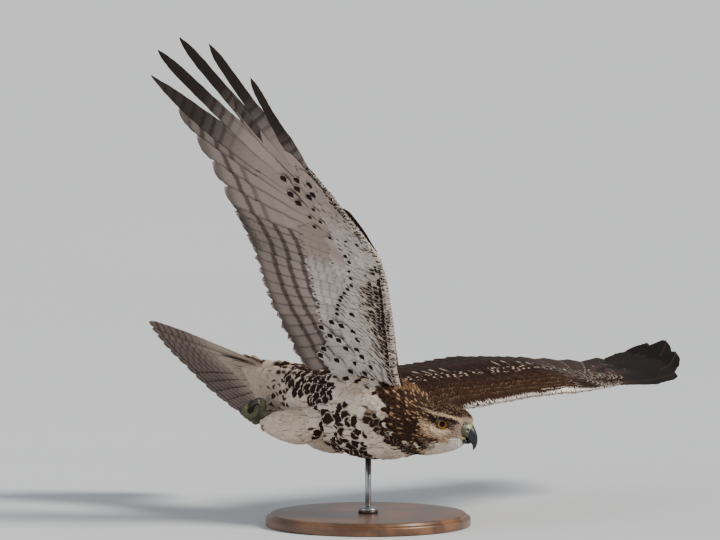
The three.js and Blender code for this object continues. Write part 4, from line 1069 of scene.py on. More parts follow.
def lesser_coverts(wing, face):
    """The small coverts: rows from the leading edge back over the wing's fleshy front."""
    small = []
    for k in range(COVERT_ROWS):
        step = ROW_STEP[min(k, len(ROW_STEP) - 1)]
        for x in np.arange(-34 + (k % 2) * step / 2, 338, step * 0.92):
            back = -0.6 + np.interp(x, *ROW_PACE) * k * mix(0.15, 1.0, min(1, k / 4))
            if back > np.interp(x, *ROW_REACH):
                continue
            u = x + draw.normal(0, 0.24 * step)
            v = np.interp(x, *WING_LEAD) + back + draw.normal(0, 0.1 * step if k > 1 else 0.2)
            size = np.interp(k, [0, 1, 2, 4, 9], [5, 8, 11, 15, 22]) * np.interp(x, [190, 330], [1, 0.85])
            small.append((u, v, size, k, 0.33, 0))
    u, v, size, row, slim, spot = np.array(small, float).T
    if face < 0:
        off = v - np.interp(u, *WING_LEAD)
        streaky = smooth(4, 8, off) * smooth(62, 54, off) * smooth(200, 184, u) * (row > 1)
        slim = mix(slim, 0.19, streaky)
        size = mix(size, 14.0, streaky)
        groups = ((AXILLAR_SPOTS, 22, 0.25), (WRIST_SPOTS, 16, 0.23), (COMMA_SPOTS, 26, 0.26))
        for spots, long, share in groups:
            tip = np.array(spots, float)
            lean = np.radians(np.interp(tip[:, 0], LEAN_U, LEAN[face]))
            root = (tip[:, 0] - np.sin(lean) * long * 0.8, tip[:, 1] - np.cos(lean) * long * 0.8)
            more = (*root, *(np.full(len(tip), x) for x in (long, 12, share, 1)))
            had = (u, v, size, row, slim, spot)
            u, v, size, row, slim, spot = (np.append(*pair) for pair in zip(had, more))
    count = len(u)
    angle = np.radians(np.interp(u, LEAN_U, LEAN[face]) + draw.normal(0, 6, count))
    out, back = np.sin(angle)[:, None, None], np.cos(angle)[:, None, None]
    s = shares(7, 1.2)[None, :, None]
    c = np.linspace(-1, 1, 5)[None, None, :]
    half = (size * slim)[:, None, None]
    width = outline(shares(7, 1.2), BODY_SHAPE)[None, :, None] * half
    ragged = draw.uniform(0, 0.08, (count, 1, 5)) * smooth(0.8, 1, s)
    ahead = (s - ragged) * size[:, None, None]
    uu = u[:, None, None] + out * ahead - back * c * width
    vv = v[:, None, None] + back * ahead + out * c * width
    over = lambda x, y: np.maximum(core_half_depth(x, y), covered_depth(x, y))
    start = over(u, np.maximum(v, np.interp(u, *WING_LEAD) + 1.0))[:, None, None]
    surface = mix(start - 0.8, over(uu, vv), smooth(0, 0.35, s))
    lift = draw.uniform(0.8, 1.9, count) + 0.7 * spot
    height = surface + mix(-0.4, lift[:, None, None], smooth(0, 0.9, s)) - 0.14 * half * c ** 2
    body = 0.22 * (1 - c ** 2)
    tops, unders = (wing_point(wing, uu, vv, face * (height + part)) for part in (body, -body))
    random = draw.random(count)
    kind = upper_marks if face > 0 else lining_marks
    marks = kind(u + np.sin(angle) * size, v + np.cos(angle) * size, random, size, row)
    rim = (row < 0.5) & (u < 150)
    marks["end"] = np.where(rim, 1.3, 0.86) if face > 0 else np.full(count, 0.97)
    marks["width"] = np.where(spot > 0, 0.9, marks["width"])
    marks["start"] = np.where(spot > 0, 0.4, marks["start"])
    layer = plume_layers(s, c, random, s * size[:, None, None], half, marks)
    pair = (tops, unders)[::face * wing["side"]]
    uv = patches((u + 60) / 420, (v + 110) / 260, 7, 5)
    return assemble(f"lesser_coverts_{WORDS[face]}_{wing['name']}", *pair, paired(layer, layer), uv)


def wing_flesh(wing):
    """The fleshy front of the wing, a little inside its solid."""
    rows, sides = 60, 32
    u = np.linspace(CORE_U[0], CORE_U[-1], rows)[:, None]
    t = circle(sides)[None]
    lead = np.interp(u, *WING_LEAD)
    half = (np.interp(u, *WING_TRAIL) - lead) * np.interp(u, CORE_U, CORE_CHORD) / 2
    v = lead + 1.6 + (half - 1.6) * (1 + np.cos(t))
    height = 0.84 * np.interp(u, CORE_U, CORE_DEPTH) * (0.72 - 0.4 * np.cos(t)) * np.sin(t)
    points, faces = closed_tube(wing_point(wing, u, v, height))
    plain = (np.repeat(u, sides), v.ravel(), np.full(v.size, 0.5), np.full(v.size, 20))
    both = [marks(*plain) for marks in (upper_marks, lining_marks)]
    above, below = (mix(m["ground"], m["ink"], m["width"][:, None] * 0.6) * 0.8 for m in both)
    layers = {"ground": np.where(height.reshape(-1, 1) > 0, above, below)}
    return mesh_object(f"wing_skin_{wing['name']}", points, [f[:, ::wing["side"]] for f in faces], layers)


# Tail


def tail_place(u, v, height):
    """A place in the bird's frame, u to the left and v back in the tail's plane."""
    roll = math.radians(TAIL_ROLL)
    down = math.radians(TAIL_DOWN)
    back = np.array([-math.cos(down), 0, -math.sin(down)])
    left = np.array([0, math.cos(roll), -math.sin(roll)])
    return on_plane(TAIL_PLACE, (left, back, np.cross(left, back)), u, v, height)


def tail_fan(count, spread, root, length, half, height, **more):
    """Feathers spread evenly about the tail's line, each lower than the next one towards the middle."""
    specs = []
    for i in range(count):
        s = 2 * i / (count - 1) - 1
        angle = math.radians(spread) * s
        aim = np.array([math.sin(angle), math.cos(angle)])
        specs.append({
            "root": aim * root, "tip": aim * length, "half": half, "bow": -3 * s, "tilt": 0.8 * -np.sign(s),
            "height": height - abs(s) * ((count - 1) / 2) * TAIL_STEP, "phase": draw.random(), "order": s,
            "lean": -0.3 * s, **more,
        })
    return specs


def tail_colours(face, s, c, end, specs, random, flat):
    """Tail feathers: grey-brown with many narrow bars, paler below, dark along the outer web."""
    shape = (len(specs), s.shape[1], c.shape[2])
    order = np.array([spec["order"] for spec in specs])[:, None, None]
    base = mix(GREY_BUFF, GREY, 0.6) if face < 0 else mix(BROWN, GREY, 0.4)
    outer_web = smooth(0.8, 1, np.abs(order)) * smooth(0.3, 0.9, c * np.sign(order)) * 0.6
    coats = ((smooth(2.6, 0.8, end) * 0.8, CREAM), (outer_web, DUSKY))
    if face < 0:
        # The tail's root below takes the rump's cream, greyed as painted shade
        coats = ((smooth(0.75, 0.4, s), mix(CREAM, GREY_BUFF, RUMP_SHADE)), *coats)
    return {
        "ground": painted(mix(base, RUFOUS, 0.12), shape, coats),
        "ink": painted(mix(DARK, BLACK, 0.3), shape),
        "phase": end / 10.5 + 0.1 * random[:, None, None] + 0.2 * np.abs(c),
        "share": np.where(np.abs(end - 14) < 6, 0.55, 0.3),
        "bar": 0.62 * smooth(0.4, 0.75, s) if face < 0 else 0.9 * smooth(0.15, 0.4, s),
    }


def tail_covert_colours(face, s, c, end, specs, random, flat):
    """White below, greyed as painted shade, with a few thin streaks; brown with buff rims above."""
    over = np.array([spec["height"] > 0 for spec in specs])
    above = over[:, None]
    return {
        "ground": np.where(above, mix(BROWN, CREAM, 0.34), mix(CREAM, GREY_BUFF, RUMP_SHADE)),
        "ink": np.where(above, mix(BROWN, DARK, 0.5), BROWN),
        "width": np.where(over, 0.72, np.where(random < 0.3, 0.1, 0.0)), "end": np.full(len(specs), 0.9),
    }


# Round and tapered forms


def tube(route, radii, sides, squash=1.0):
    """Rings of a body along a route, as a grid of points."""
    route = np.asarray(route, float)
    ahead = unit(np.gradient(route, axis=0))
    aside = np.array([0, 1, 0.01])
    rings = []
    t = circle(sides)[:, None]
    for p, a, r in zip(route, ahead, np.asarray(radii, float)):
        aside = unit(aside - a * (aside @ a))
        rings.append(p + r * (np.cos(t) * aside + squash * np.sin(t) * np.cross(a, aside)))
    return np.array(rings)


def closed_tube(rings):
    """Points and faces of rings closed by a cap at each end."""
    count, sides, _ = rings.shape
    last = (count - 1) * sides
    cap = np.arange(sides)[None]
    return rings.reshape(-1, 3), [grid_faces(count, sides, wrap=True), cap[:, ::-1], cap + last]


def joined_tubes(name, list_of_rings):
    """Several closed tubes as one mesh."""
    points, faces, start = [], [], 0
    for rings in list_of_rings:
        p, f = closed_tube(rings)
        points.append(p)
        faces += [x + start for x in f]
        start += len(p)
    quads = np.concatenate([f for f in faces if f.shape[1] == 4])
    caps = [f for f in faces if f.shape[1] != 4]
    return mesh_object(name, np.concatenate(points), [quads] + caps)


BILL_SIDES = 32


def bill_rings(top, bottom, half_widths, first, last, count, sides=BILL_SIDES, swell=0.0):
    """Rings of the bill between its top and bottom line, in the head's own places."""
    steps = np.linspace(first, last, count)
    fine = 240
    places = np.linspace(0, len(top) - 1, fine)
    lines = (curve_points(line, fine) for line in (top, bottom))
    high, low = (np.stack([np.interp(steps, places, line[:, k]) for k in (0, 1)], 1) for line in lines)
    wide = np.interp(steps, range(len(half_widths)), half_widths) + swell
    t = circle(sides)
    middle = (high + low) / 2
    spread = high - low
    size = np.linalg.norm(spread, axis=1, keepdims=True)
    tall = size / 2 + swell
    upward = spread / size
    lift = np.sign(np.sin(t)) * np.abs(np.sin(t)) ** 0.85
    rings = np.empty((count, sides, 3))
    rings[..., ::2] = middle[:, None] + (upward * tall)[:, None] * lift[:, None]
    rings[..., 1] = wide[:, None] * np.cos(t) * (1 - 0.16 * np.maximum(lift, 0))
    return rings


# Materials


class Shader:
    """A small helper that adds nodes to one material and links them."""

    def __init__(self, name):
        self.material = bpy.data.materials.new(name)
        self.material.use_nodes = True
        self.tree = self.material.node_tree
        self.main = self.tree.nodes["Principled BSDF"]

    def put(self, socket, value):
        if isinstance(value, bpy.types.NodeSocket):
            self.tree.links.new(value, socket)
        elif hasattr(socket.default_value, "__len__"):
            width = len(socket.default_value)
            socket.default_value = [*value, 1.0][:width]
        else:
            socket.default_value = value

    def node(self, kind, inputs=None, out=0, **settings):
        made = self.tree.nodes.new("ShaderNode" + kind)
        for key, value in settings.items():
            setattr(made, key, value)
        for key, value in (inputs or {}).items():
            self.put(made.inputs[key], value)
        return made.outputs[out]

    def math(self, operation, *values, clamp=False):
        return self.node("Math", dict(enumerate(values)), operation=operation, use_clamp=clamp)

    def step(self, value, low, high):
        names = {"Value": value, "From Min": low, "From Max": high}
        return self.node("MapRange", names, interpolation_type="SMOOTHSTEP")

    def blend(self, share, first, second, kind="MIX"):
        made = self.tree.nodes.new("ShaderNodeMix")
        made.data_type = "RGBA"
        made.blend_type = kind
        self.put(made.inputs[0], share)
        self.put(made.inputs[6], first)
        self.put(made.inputs[7], second)
        return made.outputs[2]

    def attribute(self, name, out=1):
        return self.node("Attribute", attribute_name=name, out=out)

    def split(self, vector):
        made = self.tree.nodes.new("ShaderNodeSeparateXYZ")
        self.put(made.inputs[0], vector)
        return made.outputs

    def noise(self, vector, scale, detail=3.0, rough=0.55):
        inputs = {"Vector": vector, "Scale": scale, "Detail": detail, "Roughness": rough}
        return self.node("TexNoise", inputs)

    def place(self):
        return self.node("TexCoord", out=3)

    def bump(self, height, strength, distance):
        return self.node("Bump", {"Height": height, "Strength": strength, "Distance": distance})

    def finish(self, **inputs):
        for key, value in inputs.items():
            self.put(self.main.inputs[key.replace("_", " ")], value)
        return self.material


def plumage(name, gloss=0.12, ragged=0.22, soft=0.12):
    """Feathers: ground and ink by the vane's own lengthwise and crosswise places, with fine barbs."""
    sh = Shader(name)
    s, c, own = sh.split(sh.attribute("plume"))
    width, start, end = sh.split(sh.attribute("pattern"))
    barb = sh.attribute("barb", 2)
    phase, share, strength = sh.split(sh.attribute("bars"))
    wobble_at = sh.node("CombineXYZ", {0: barb, 1: sh.math("MULTIPLY", own, 60.0), 2: c})
    wobble = sh.math("SUBTRACT", sh.noise(wobble_at, 0.7, 2.0), 0.5)
    aside = sh.math("ABSOLUTE", c)
    middle = sh.math("ADD", sh.math("MULTIPLY", start, 0.4), sh.math("MULTIPLY", end, 0.6))
    grow = sh.step(s, start, middle)
    cap = sh.math("DIVIDE", sh.math("SUBTRACT", s, middle), sh.math("SUBTRACT", end, middle), clamp=True)
    round_end = sh.math("SQRT", sh.math("SUBTRACT", 1.0, sh.math("MULTIPLY", cap, cap)))
    limit = sh.math("MULTIPLY", sh.math("MULTIPLY", width, grow), round_end)
    inside = sh.math("SUBTRACT", limit, sh.math("SUBTRACT", aside, sh.math("MULTIPLY", wobble, ragged)))
    has_mark = sh.step(width, 0.02, 0.06)
    mark = sh.math("MULTIPLY", sh.step(inside, -soft, soft + 0.04), has_mark)
    shifted = sh.math("ADD", phase, sh.math("MULTIPLY", wobble, 0.3))
    wave = sh.math("ABSOLUTE", sh.math("SUBTRACT", sh.math("FRACT", shifted), 0.5))
    bar_edge = sh.math("SUBTRACT", sh.math("MULTIPLY", share, 0.5), wave)
    bar = sh.math("MULTIPLY", sh.step(bar_edge, -0.09, 0.09), strength)
    dark = sh.math("MAXIMUM", mark, bar)
    colour = sh.blend(dark, sh.attribute("ground"), sh.attribute("ink"))
    along, apart = sh.math("MULTIPLY", barb, 1.6), sh.math("MULTIPLY", own, 90.0)
    barb_at = sh.node("CombineXYZ", {0: along, 1: apart, 2: 0.0})
    barbs = sh.noise(barb_at, 1.0, 2.0, 0.7)
    reach = {"Value": barbs, "From Min": 0.3, "From Max": 0.7, "To Min": 0.82, "To Max": 1.1}
    streaks = sh.node("MapRange", reach)
    each = sh.node("MapRange", {"Value": own, "To Min": 0.9, "To Max": 1.08})
    shade = sh.math("MULTIPLY", streaks, each)
    grey = sh.node("CombineColor", {0: shade, 1: shade, 2: shade})
    colour = sh.blend(1.0, colour, grey, "MULTIPLY")
    shaft = sh.math("MULTIPLY", sh.step(aside, 0.06, 0.025), 0.35)
    colour = sh.blend(shaft, colour, linear("#4a3a30"))
    bump = sh.bump(barbs, 0.3, 0.0004)
    return sh.finish(Base_Color=colour, Roughness=0.78, Specular_IOR_Level=gloss, Normal=bump)


def skin_finish():
    sh = Shader("skin")
    fine = sh.noise(sh.place(), 900.0, 4.0)
    colour = sh.blend(sh.math("MULTIPLY", fine, 0.4), sh.attribute("ground"), (0.02, 0.014, 0.01))
    return sh.finish(Base_Color=colour, Roughness=0.9, Normal=sh.bump(fine, 0.6, 0.001))


def horn_finish(name, base, tip):
    """Bill and claw: base colour running into black at the tip, with growth lines."""
    sh = Shader(name)
    along = sh.attribute("along")
    grain = sh.noise(sh.place(), 500.0, 5.0)
    uneven = sh.math("MULTIPLY", sh.math("SUBTRACT", grain, 0.5), 0.35)
    run = sh.step(sh.math("ADD", along, uneven), 0.08, 0.6)
    colour = sh.blend(run, base, tip)
    rough = sh.node("MapRange", {"Value": grain, "To Min": 0.24, "To Max": 0.42})
    return sh.finish(Base_Color=colour, Roughness=rough, Coat_Weight=0.1, Coat_Roughness=0.2,
                     Normal=sh.bump(grain, 0.15, 0.0004))


def cere_finish():
    sh = Shader("cere")
    grain = sh.noise(sh.place(), 700.0, 4.0)
    colour = sh.blend(grain, linear("#66754a"), linear("#86925f"))
    colour = sh.blend(sh.attribute("dull"), colour, linear("#47432f"))
    # The nostril pits are painted near-black: painted shade in their hollows
    colour = sh.blend(sh.attribute("pit"), colour, (0.01, 0.008, 0.006))
    return sh.finish(Base_Color=colour, Roughness=0.42, Subsurface_Weight=0.08, Subsurface_Scale=0.002,
                     Normal=sh.bump(grain, 0.2, 0.0004))


def eye_finish():
    """Pupil, amber iris with fine spokes, dark rim, under a clear coat."""
    sh = Shader("eye")
    radius, around, _ = sh.split(sh.attribute("gaze"))
    turn, reach = sh.math("MULTIPLY", around, 9.0), sh.math("MULTIPLY", radius, 1.6)
    spoke_at = sh.node("CombineXYZ", {0: turn, 1: reach, 2: 0.0})
    spokes = sh.noise(spoke_at, 3.0, 5.0, 0.7)
    iris = sh.blend(spokes, linear("#6b3a12"), linear("#c98438"))
    inner = sh.step(radius, 0.3, 0.5)
    iris = sh.blend(inner, linear("#c98b3c"), iris)
    rim = sh.step(radius, 0.66, 0.74)
    colour = sh.blend(rim, iris, linear("#120c08"))
    pupil = sh.step(radius, 0.365, 0.345)
    colour = sh.blend(pupil, colour, (0.003, 0.003, 0.003))
    return sh.finish(Base_Color=colour, Roughness=0.3, Specular_IOR_Level=0.1,
                     Coat_Weight=0.12, Coat_Roughness=0.02, Coat_IOR=1.33)


def scale_finish():
    sh = Shader("foot_scales")
    cells_at = sh.place()
    edge = sh.node("TexVoronoi", {"Vector": cells_at, "Scale": 620.0}, feature="DISTANCE_TO_EDGE")
    groove = sh.step(edge, 0.0, 0.12)
    tint = sh.noise(cells_at, 160.0, 3.0)
    # The scales' yellow is darkened to a dull olive as painted shade
    colour = sh.blend(tint, linear("#3b3a2b"), linear("#65623f"))
    colour = sh.blend(groove, linear("#1f1d14"), colour)
    return sh.finish(Base_Color=colour, Roughness=0.5, Normal=sh.bump(groove, 0.5, 0.0005))


def grained_finish(name, scale, dark, light, rough, bump):
    """Soft skin in two shades with a fine grain."""
    sh = Shader(name)
    grain = sh.noise(sh.place(), scale, 3.0)
    colour = sh.blend(grain, linear(dark), linear(light))
    return sh.finish(Base_Color=colour, Roughness=rough, Normal=sh.bump(grain, bump, 0.0003))


def wood_finish():
    """Turned walnut, with long grain, dark pores and a satin varnish."""
    sh = Shader("base_wood")
    stretched = sh.node("Mapping", {"Vector": sh.place(), "Scale": (3.0, 34.0, 34.0)})
    sway = sh.noise(stretched, 1.2, 4.0, 0.6)
    rings = sh.node("TexWave", {"Vector": stretched, "Scale": 0.9, "Distortion": 7.0, "Detail": 3.0})
    grain = sh.math("ADD", sh.math("MULTIPLY", rings, 0.55), sh.math("MULTIPLY", sway, 0.5), clamp=True)
    colour = sh.blend(grain, linear("#3b2415"), linear("#7d5535"))
    fine = sh.node("Mapping", {"Vector": sh.place(), "Scale": (40.0, 700.0, 700.0)})
    pores = sh.noise(fine, 1.0, 2.0, 0.6)
    pore = sh.step(pores, 0.62, 0.7)
    colour = sh.blend(sh.math("MULTIPLY", pore, 0.7), colour, linear("#241509"))
    rough = sh.node("MapRange", {"Value": grain, "To Min": 0.34, "To Max": 0.46})
    return sh.finish(Base_Color=colour, Roughness=rough, Coat_Weight=0.3, Coat_Roughness=0.22,
                     Normal=sh.bump(pores, 0.08, 0.0004))


def steel_finish():
    sh = Shader("stand_steel")
    stretched = sh.node("Mapping", {"Vector": sh.place(), "Scale": (900.0, 900.0, 40.0)})
    brushed = sh.noise(stretched, 1.0, 3.0)
    rough = sh.node("MapRange", {"Value": brushed, "To Min": 0.22, "To Max": 0.42})
    colour = sh.blend(brushed, linear("#8d9094"), linear("#b2b4b6"))
    return sh.finish(Base_Color=colour, Metallic=1.0, Roughness=rough, Normal=sh.bump(brushed, 0.1, 0.0002))


def floor_finish():
    sh = Shader("floor")
    cloud = sh.noise(sh.place(), 0.8, 2.0)
    colour = sh.blend(cloud, linear("#d3d6d9"), linear("#dadcde"))
    return sh.finish(Base_Color=colour, Roughness=0.9, Specular_IOR_Level=0.1)


# Building


def make_body(finish):
    """Skin and contour feathers of torso, neck, head and legs."""
    piece, sunk, normal, node, depth = flesh_piece()
    dress(piece, finish["skin"], FLESH)
    tree = search_tree(piece.data)
    along, share, side, ahead = on_line(sunk)
    head = bird_to_head(sunk)
    a, _, c = head.T
    face = node == 2
    eye = EYE_PLACE + unit(EYE_AXIS) * 5
    eye_gap = np.minimum(*(np.linalg.norm(head - eye * [1, s, 1], axis=1) for s in (1, -1)))
    lie = -ahead
    from_bill = unit(head - np.array([34, 0, -10])) @ HEAD.T
    lie = np.where(face[:, None], mix(lie, from_bill, smooth(-30, 5, a)[:, None]), lie)
    for number, key in ((3, "left"), (4, "right")):
        thigh = np.array(LEGS[key]["thigh"], float)
        lie[node == number] = mix(lie[node == number], unit(thigh[-1] - thigh[0]), 0.8)
    face_size = mix(2.8, 1.6, smooth(-20, 8, a))
    neck_size = mix(5.6, 2.7, smooth(90, 150, along))
    body_size = mix(9.4, 7.6, smooth(0.2, 0.7, share))
    spacing = np.select([face, node == 1, node > 2], [face_size, neck_size, 6.2], body_size)
    spacing = np.where((node == 0) & (along > 60), mix(spacing, 6.8, smooth(60, 90, along)), spacing)
    bare = (eye_gap < LID_RADIUS + 0.4) | (a > 34.6) | ((a > 26.4) & (c < 4.6)) | ((a > 25) & (c < -12))
    bare |= (np.abs(c + 15.8) < 1.5) & (a > 4)
    index = np.where(~(face & bare))[0]
    kept = index[thinned(sunk[index], spacing[index])]
    regions = {
        "coat_head": (face, "head_plumage", "head_feathers", 6, 5, 0.12),
        "coat_neck": (node == 1, "head_plumage", "head_feathers", 8, 7, 0.14),
        "coat_breast": ((node == 0) & (along > -20), "body_plumage", "body_feathers", 9, 9, 0.14),
        "coat_rear": ((node == 0) & (along <= -20), "body_plumage", "body_feathers", 9, 9, 0.14),
        "coat_leg_left": (node == 3, "body_plumage", "body_feathers", 9, 7, 0.1),
        "coat_leg_right": (node == 4, "body_plumage", "body_feathers", 9, 7, 0.1),
    }
    for name, (where, material, slot, rows, columns, fluff) in regions.items():
        chosen = kept[where[kept]]
        gap = spacing[chosen]
        random = draw.random(len(chosen))
        slender = 4.0 if "leg" in name else 3.2
        trails = smooth(-98, -122, sunk[chosen, 0]) * (node[chosen] > 2) * draw.random(len(chosen))
        length = gap * slender * draw.uniform(0.9, 1.15, len(chosen)) * (1 - 0.2 * trails)
        broad = 0.8 if name in ("coat_head", "coat_neck") else 0.95
        half = gap * draw.uniform(0.9, 1.1, len(chosen)) * broad
        seen = sunk[chosen] + lie[chosen] * length[:, None] * 0.7
        marks = head_marks(seen, random) if name == "coat_head" else body_marks(seen, node[chosen], random)
        around = np.arctan2(share[chosen], side[chosen] / 50) / 6.6 + 0.5
        unwrap = np.stack([(along[chosen] + 180) / 420, around], 1)
        piece = coat(name, sunk[chosen], normal[chosen], lie[chosen], length, half, depth[chosen], marks,
                     unwrap, tree, rows, columns, fluff, 0.5 * trails)
        dress(piece, finish[material])


def make_wing(wing, finish):
    """Flight feathers, two kinds of coverts on each face, and the flesh under them."""
    place = lambda u, v, height: wing_point(wing, u, v, height)
    side = wing["side"]
    name = wing["name"]
    specs = arm_flight_specs()
    arm = sheet_vanes(f"secondaries_{name}", place, specs, 30, FLIGHT_COLUMNS, flight_colours, side)
    dress(arm, finish["flight_plumage"], (f"wing_arm_{name}",))
    specs = hand_flight_specs(wing)
    hand = sheet_vanes(f"primaries_{name}", place, specs, 34, FLIGHT_COLUMNS, flight_colours, side)
    dress(hand, finish["flight_plumage"], (f"wing_hand_{name}",))
    for face, word in WORDS.items():
        specs = large_covert_specs(face)
        piece = sheet_vanes(f"coverts_{word}_{name}", place, specs, 18, COVERT_COLUMNS, covert_colours, side)
        dress(piece, finish["covert_plumage"])
        dress(lesser_coverts(wing, face), finish["covert_plumage"])
    dress(wing_flesh(wing), finish["skin"])


def make_tail(finish):
    """Tail feathers, and two layers of coverts over and under them."""
    more = {"shape": TAIL_SHAPE, "shaft": 1.1}
    specs = tail_fan(TAIL_FEATHERS, TAIL_SPREAD, TAIL_ROOT, TAIL_LENGTH, 15.5, 0, **more)
    vanes = sheet_vanes("tail_feathers", tail_place, specs, 30, FLIGHT_COLUMNS, tail_colours)
    dress(vanes, finish["flight_plumage"], ("tail",))
    more = {"shape": COVERT_SHAPE, "shaft": 0.4, "ragged": 0.05}
    covers = []
    over = {"face": 1, "root_height": -3.0, **more}
    below = {"face": -1, "root_height": 2.0, **more}
    for layer, (reach, root) in enumerate(((122, 42), (104, 34))):
        covers += tail_fan(8 - layer, 19, root, reach, 11, 2.8 + 1.4 * layer, **over)
        covers += tail_fan(9 - layer, 19, root, reach + 14, 11, -6.6 - 1.6 * layer, **below)
    piece = sheet_vanes("tail_coverts", tail_place, covers, 14, COVERT_COLUMNS, tail_covert_colours)
    dress(piece, finish["body_plumage"])


SIDE_NAME = {1: "left", -1: "right"}


def eye_frame(side):
    """An eye's centre, the way it looks, and upwards across that way, in the head's own places."""
    axis = unit(EYE_AXIS * [1, side, 1])
    return EYE_PLACE * [1, side, 1], axis, unit(np.array([0, 0, 1.0]) - axis * axis[2])


def make_eye(side, finish):
    """A ball with a bulging clear front, its colours set out round the way it looks."""
    centre, axis, up = eye_frame(side)
    aside = np.cross(axis, up)
    rows, sides = 40, 48
    polar = np.linspace(0.02, math.pi, rows)
    t = circle(sides)
    radius = EYE_RADIUS + 0.9 * smooth(0.95, 0.55, polar)
    rings = (
        centre + (radius * np.cos(polar))[:, None, None] * axis
        + (radius * np.sin(polar))[:, None, None] * (np.cos(t)[:, None] * aside + np.sin(t)[:, None] * up)
    )
    points, faces = closed_tube(rings)
    gaze = np.stack([np.repeat(polar / 1.25, sides), np.tile(t, rows), np.zeros(rows * sides)], 1)
    ball = mesh_object(f"eyeball_{SIDE_NAME[side]}", head_to_bird(points), faces, {"gaze": gaze})
    dress(ball, finish["eye"], (f"eye_{SIDE_NAME[side]}",))


def make_lids(side, finish):
    """A soft rim round the eye, thicker above, drawn out a little at its two corners."""
    centre, axis, up = eye_frame(side)
    ahead = unit(np.cross(up, axis)) * side
    k = circle(12)[:, None]
    rings = []
    for angle in circle(72):
        x = math.cos(angle)
        z = math.sin(angle)
        open_x = LID_RADIUS * (1.02 + 0.1 * abs(x) ** 6)
        open_z = LID_RADIUS * (0.64 if z > 0 else 0.88)
        reach = math.hypot(open_x * x, open_z * z)
        deep = math.sqrt(max(EYE_RADIUS ** 2 - reach ** 2, 4)) + 0.25
        place = centre + ahead * open_x * x + up * open_z * z + axis * deep
        outward = unit(ahead * x + up * z)
        thick = 0.95 + (0.95 if z > 0 else 0.1) * abs(z)
        rings.append(place + thick * (np.cos(k) * outward * 1.5 + np.sin(k) * axis * 0.8) + outward * thick)
    rings = np.array(rings)
    count, sides, _ = rings.shape
    quads = grid_faces(count + 1, sides, wrap=True) % (count * sides)
    piece = mesh_object(f"eyelids_{SIDE_NAME[side]}", head_to_bird(rings.reshape(-1, 3)), [quads])
    dress(piece, finish["lid"])


def make_bill(finish):
    """Both halves of the horn, the cere with its nostrils, and the soft skin along the gape."""
    upper = (BILL_TOP, BILL_BOTTOM, BILL_HALF_WIDTH, CERE_END - 0.15, len(BILL_TOP) - 1, 60)
    lower = (LOWER_BILL_TOP, LOWER_BILL_BOTTOM, LOWER_BILL_HALF_WIDTH, 0, 3, 30)
    for word, shape, ends in (("upper", upper, (0, 1)), ("lower", lower, (0.1, 0.8))):
        points, faces = closed_tube(bill_rings(*shape))
        along = np.repeat(np.linspace(*ends, shape[-1]), BILL_SIDES)
        horn = mesh_object(f"bill_{word}_horn", head_to_bird(points), faces, {"along": along})
        dress(horn, finish["bill"], (f"bill_{word}",))
    soft = bill_rings(BILL_TOP, BILL_BOTTOM, CERE_HALF_WIDTH, -0.05, CERE_END, 50, 96, 0.4)
    points, faces = closed_tube(soft)
    off = (points - NOSTRIL * np.where(points[:, 1:2] < 0, [1, -1, 1], [1, 1, 1])) / [2.2, 2.8, 1.9]
    # pit marks each nostril: dented into the cere, and painted near-black there as shade in its hollow
    pit = smooth(1.25, 0.6, np.linalg.norm(off, axis=1))
    rim = smooth(1.9, 1.3, np.linalg.norm(off, axis=1)) - pit
    points[:, 1] -= np.sign(points[:, 1]) * (1.7 * pit - 0.25 * np.maximum(rim, 0))
    dull = np.maximum(smooth(31.5, 29, points[:, 0]), smooth(-6, -9.5, points[:, 2]))
    cere = mesh_object("cere_skin", head_to_bird(points), faces, {"pit": pit, "dull": dull})
    dress(cere, finish["cere"], ("cere",))
    steps = 24
    radii = np.interp(np.linspace(0, 1, steps), [0, 0.15, 0.8, 1], [0.5, 1.25, 1.1, 0.6])
    routes = [curve_points(np.array(GAPE) * [1, side, 1], steps) for side in (1, -1)]
    lips = [head_tube(route + [0, 0, lift], radii, 10, 0.7) for route in routes for lift in (0.75, -0.75)]
    dress(joined_tubes("gape_skin", lips), finish["gape"])


CLAW_ROWS = 26
CLAW_SIDES = 14
# How far the claw's root lies inside the toe, in degrees round the fist
CLAW_SUNK = 9


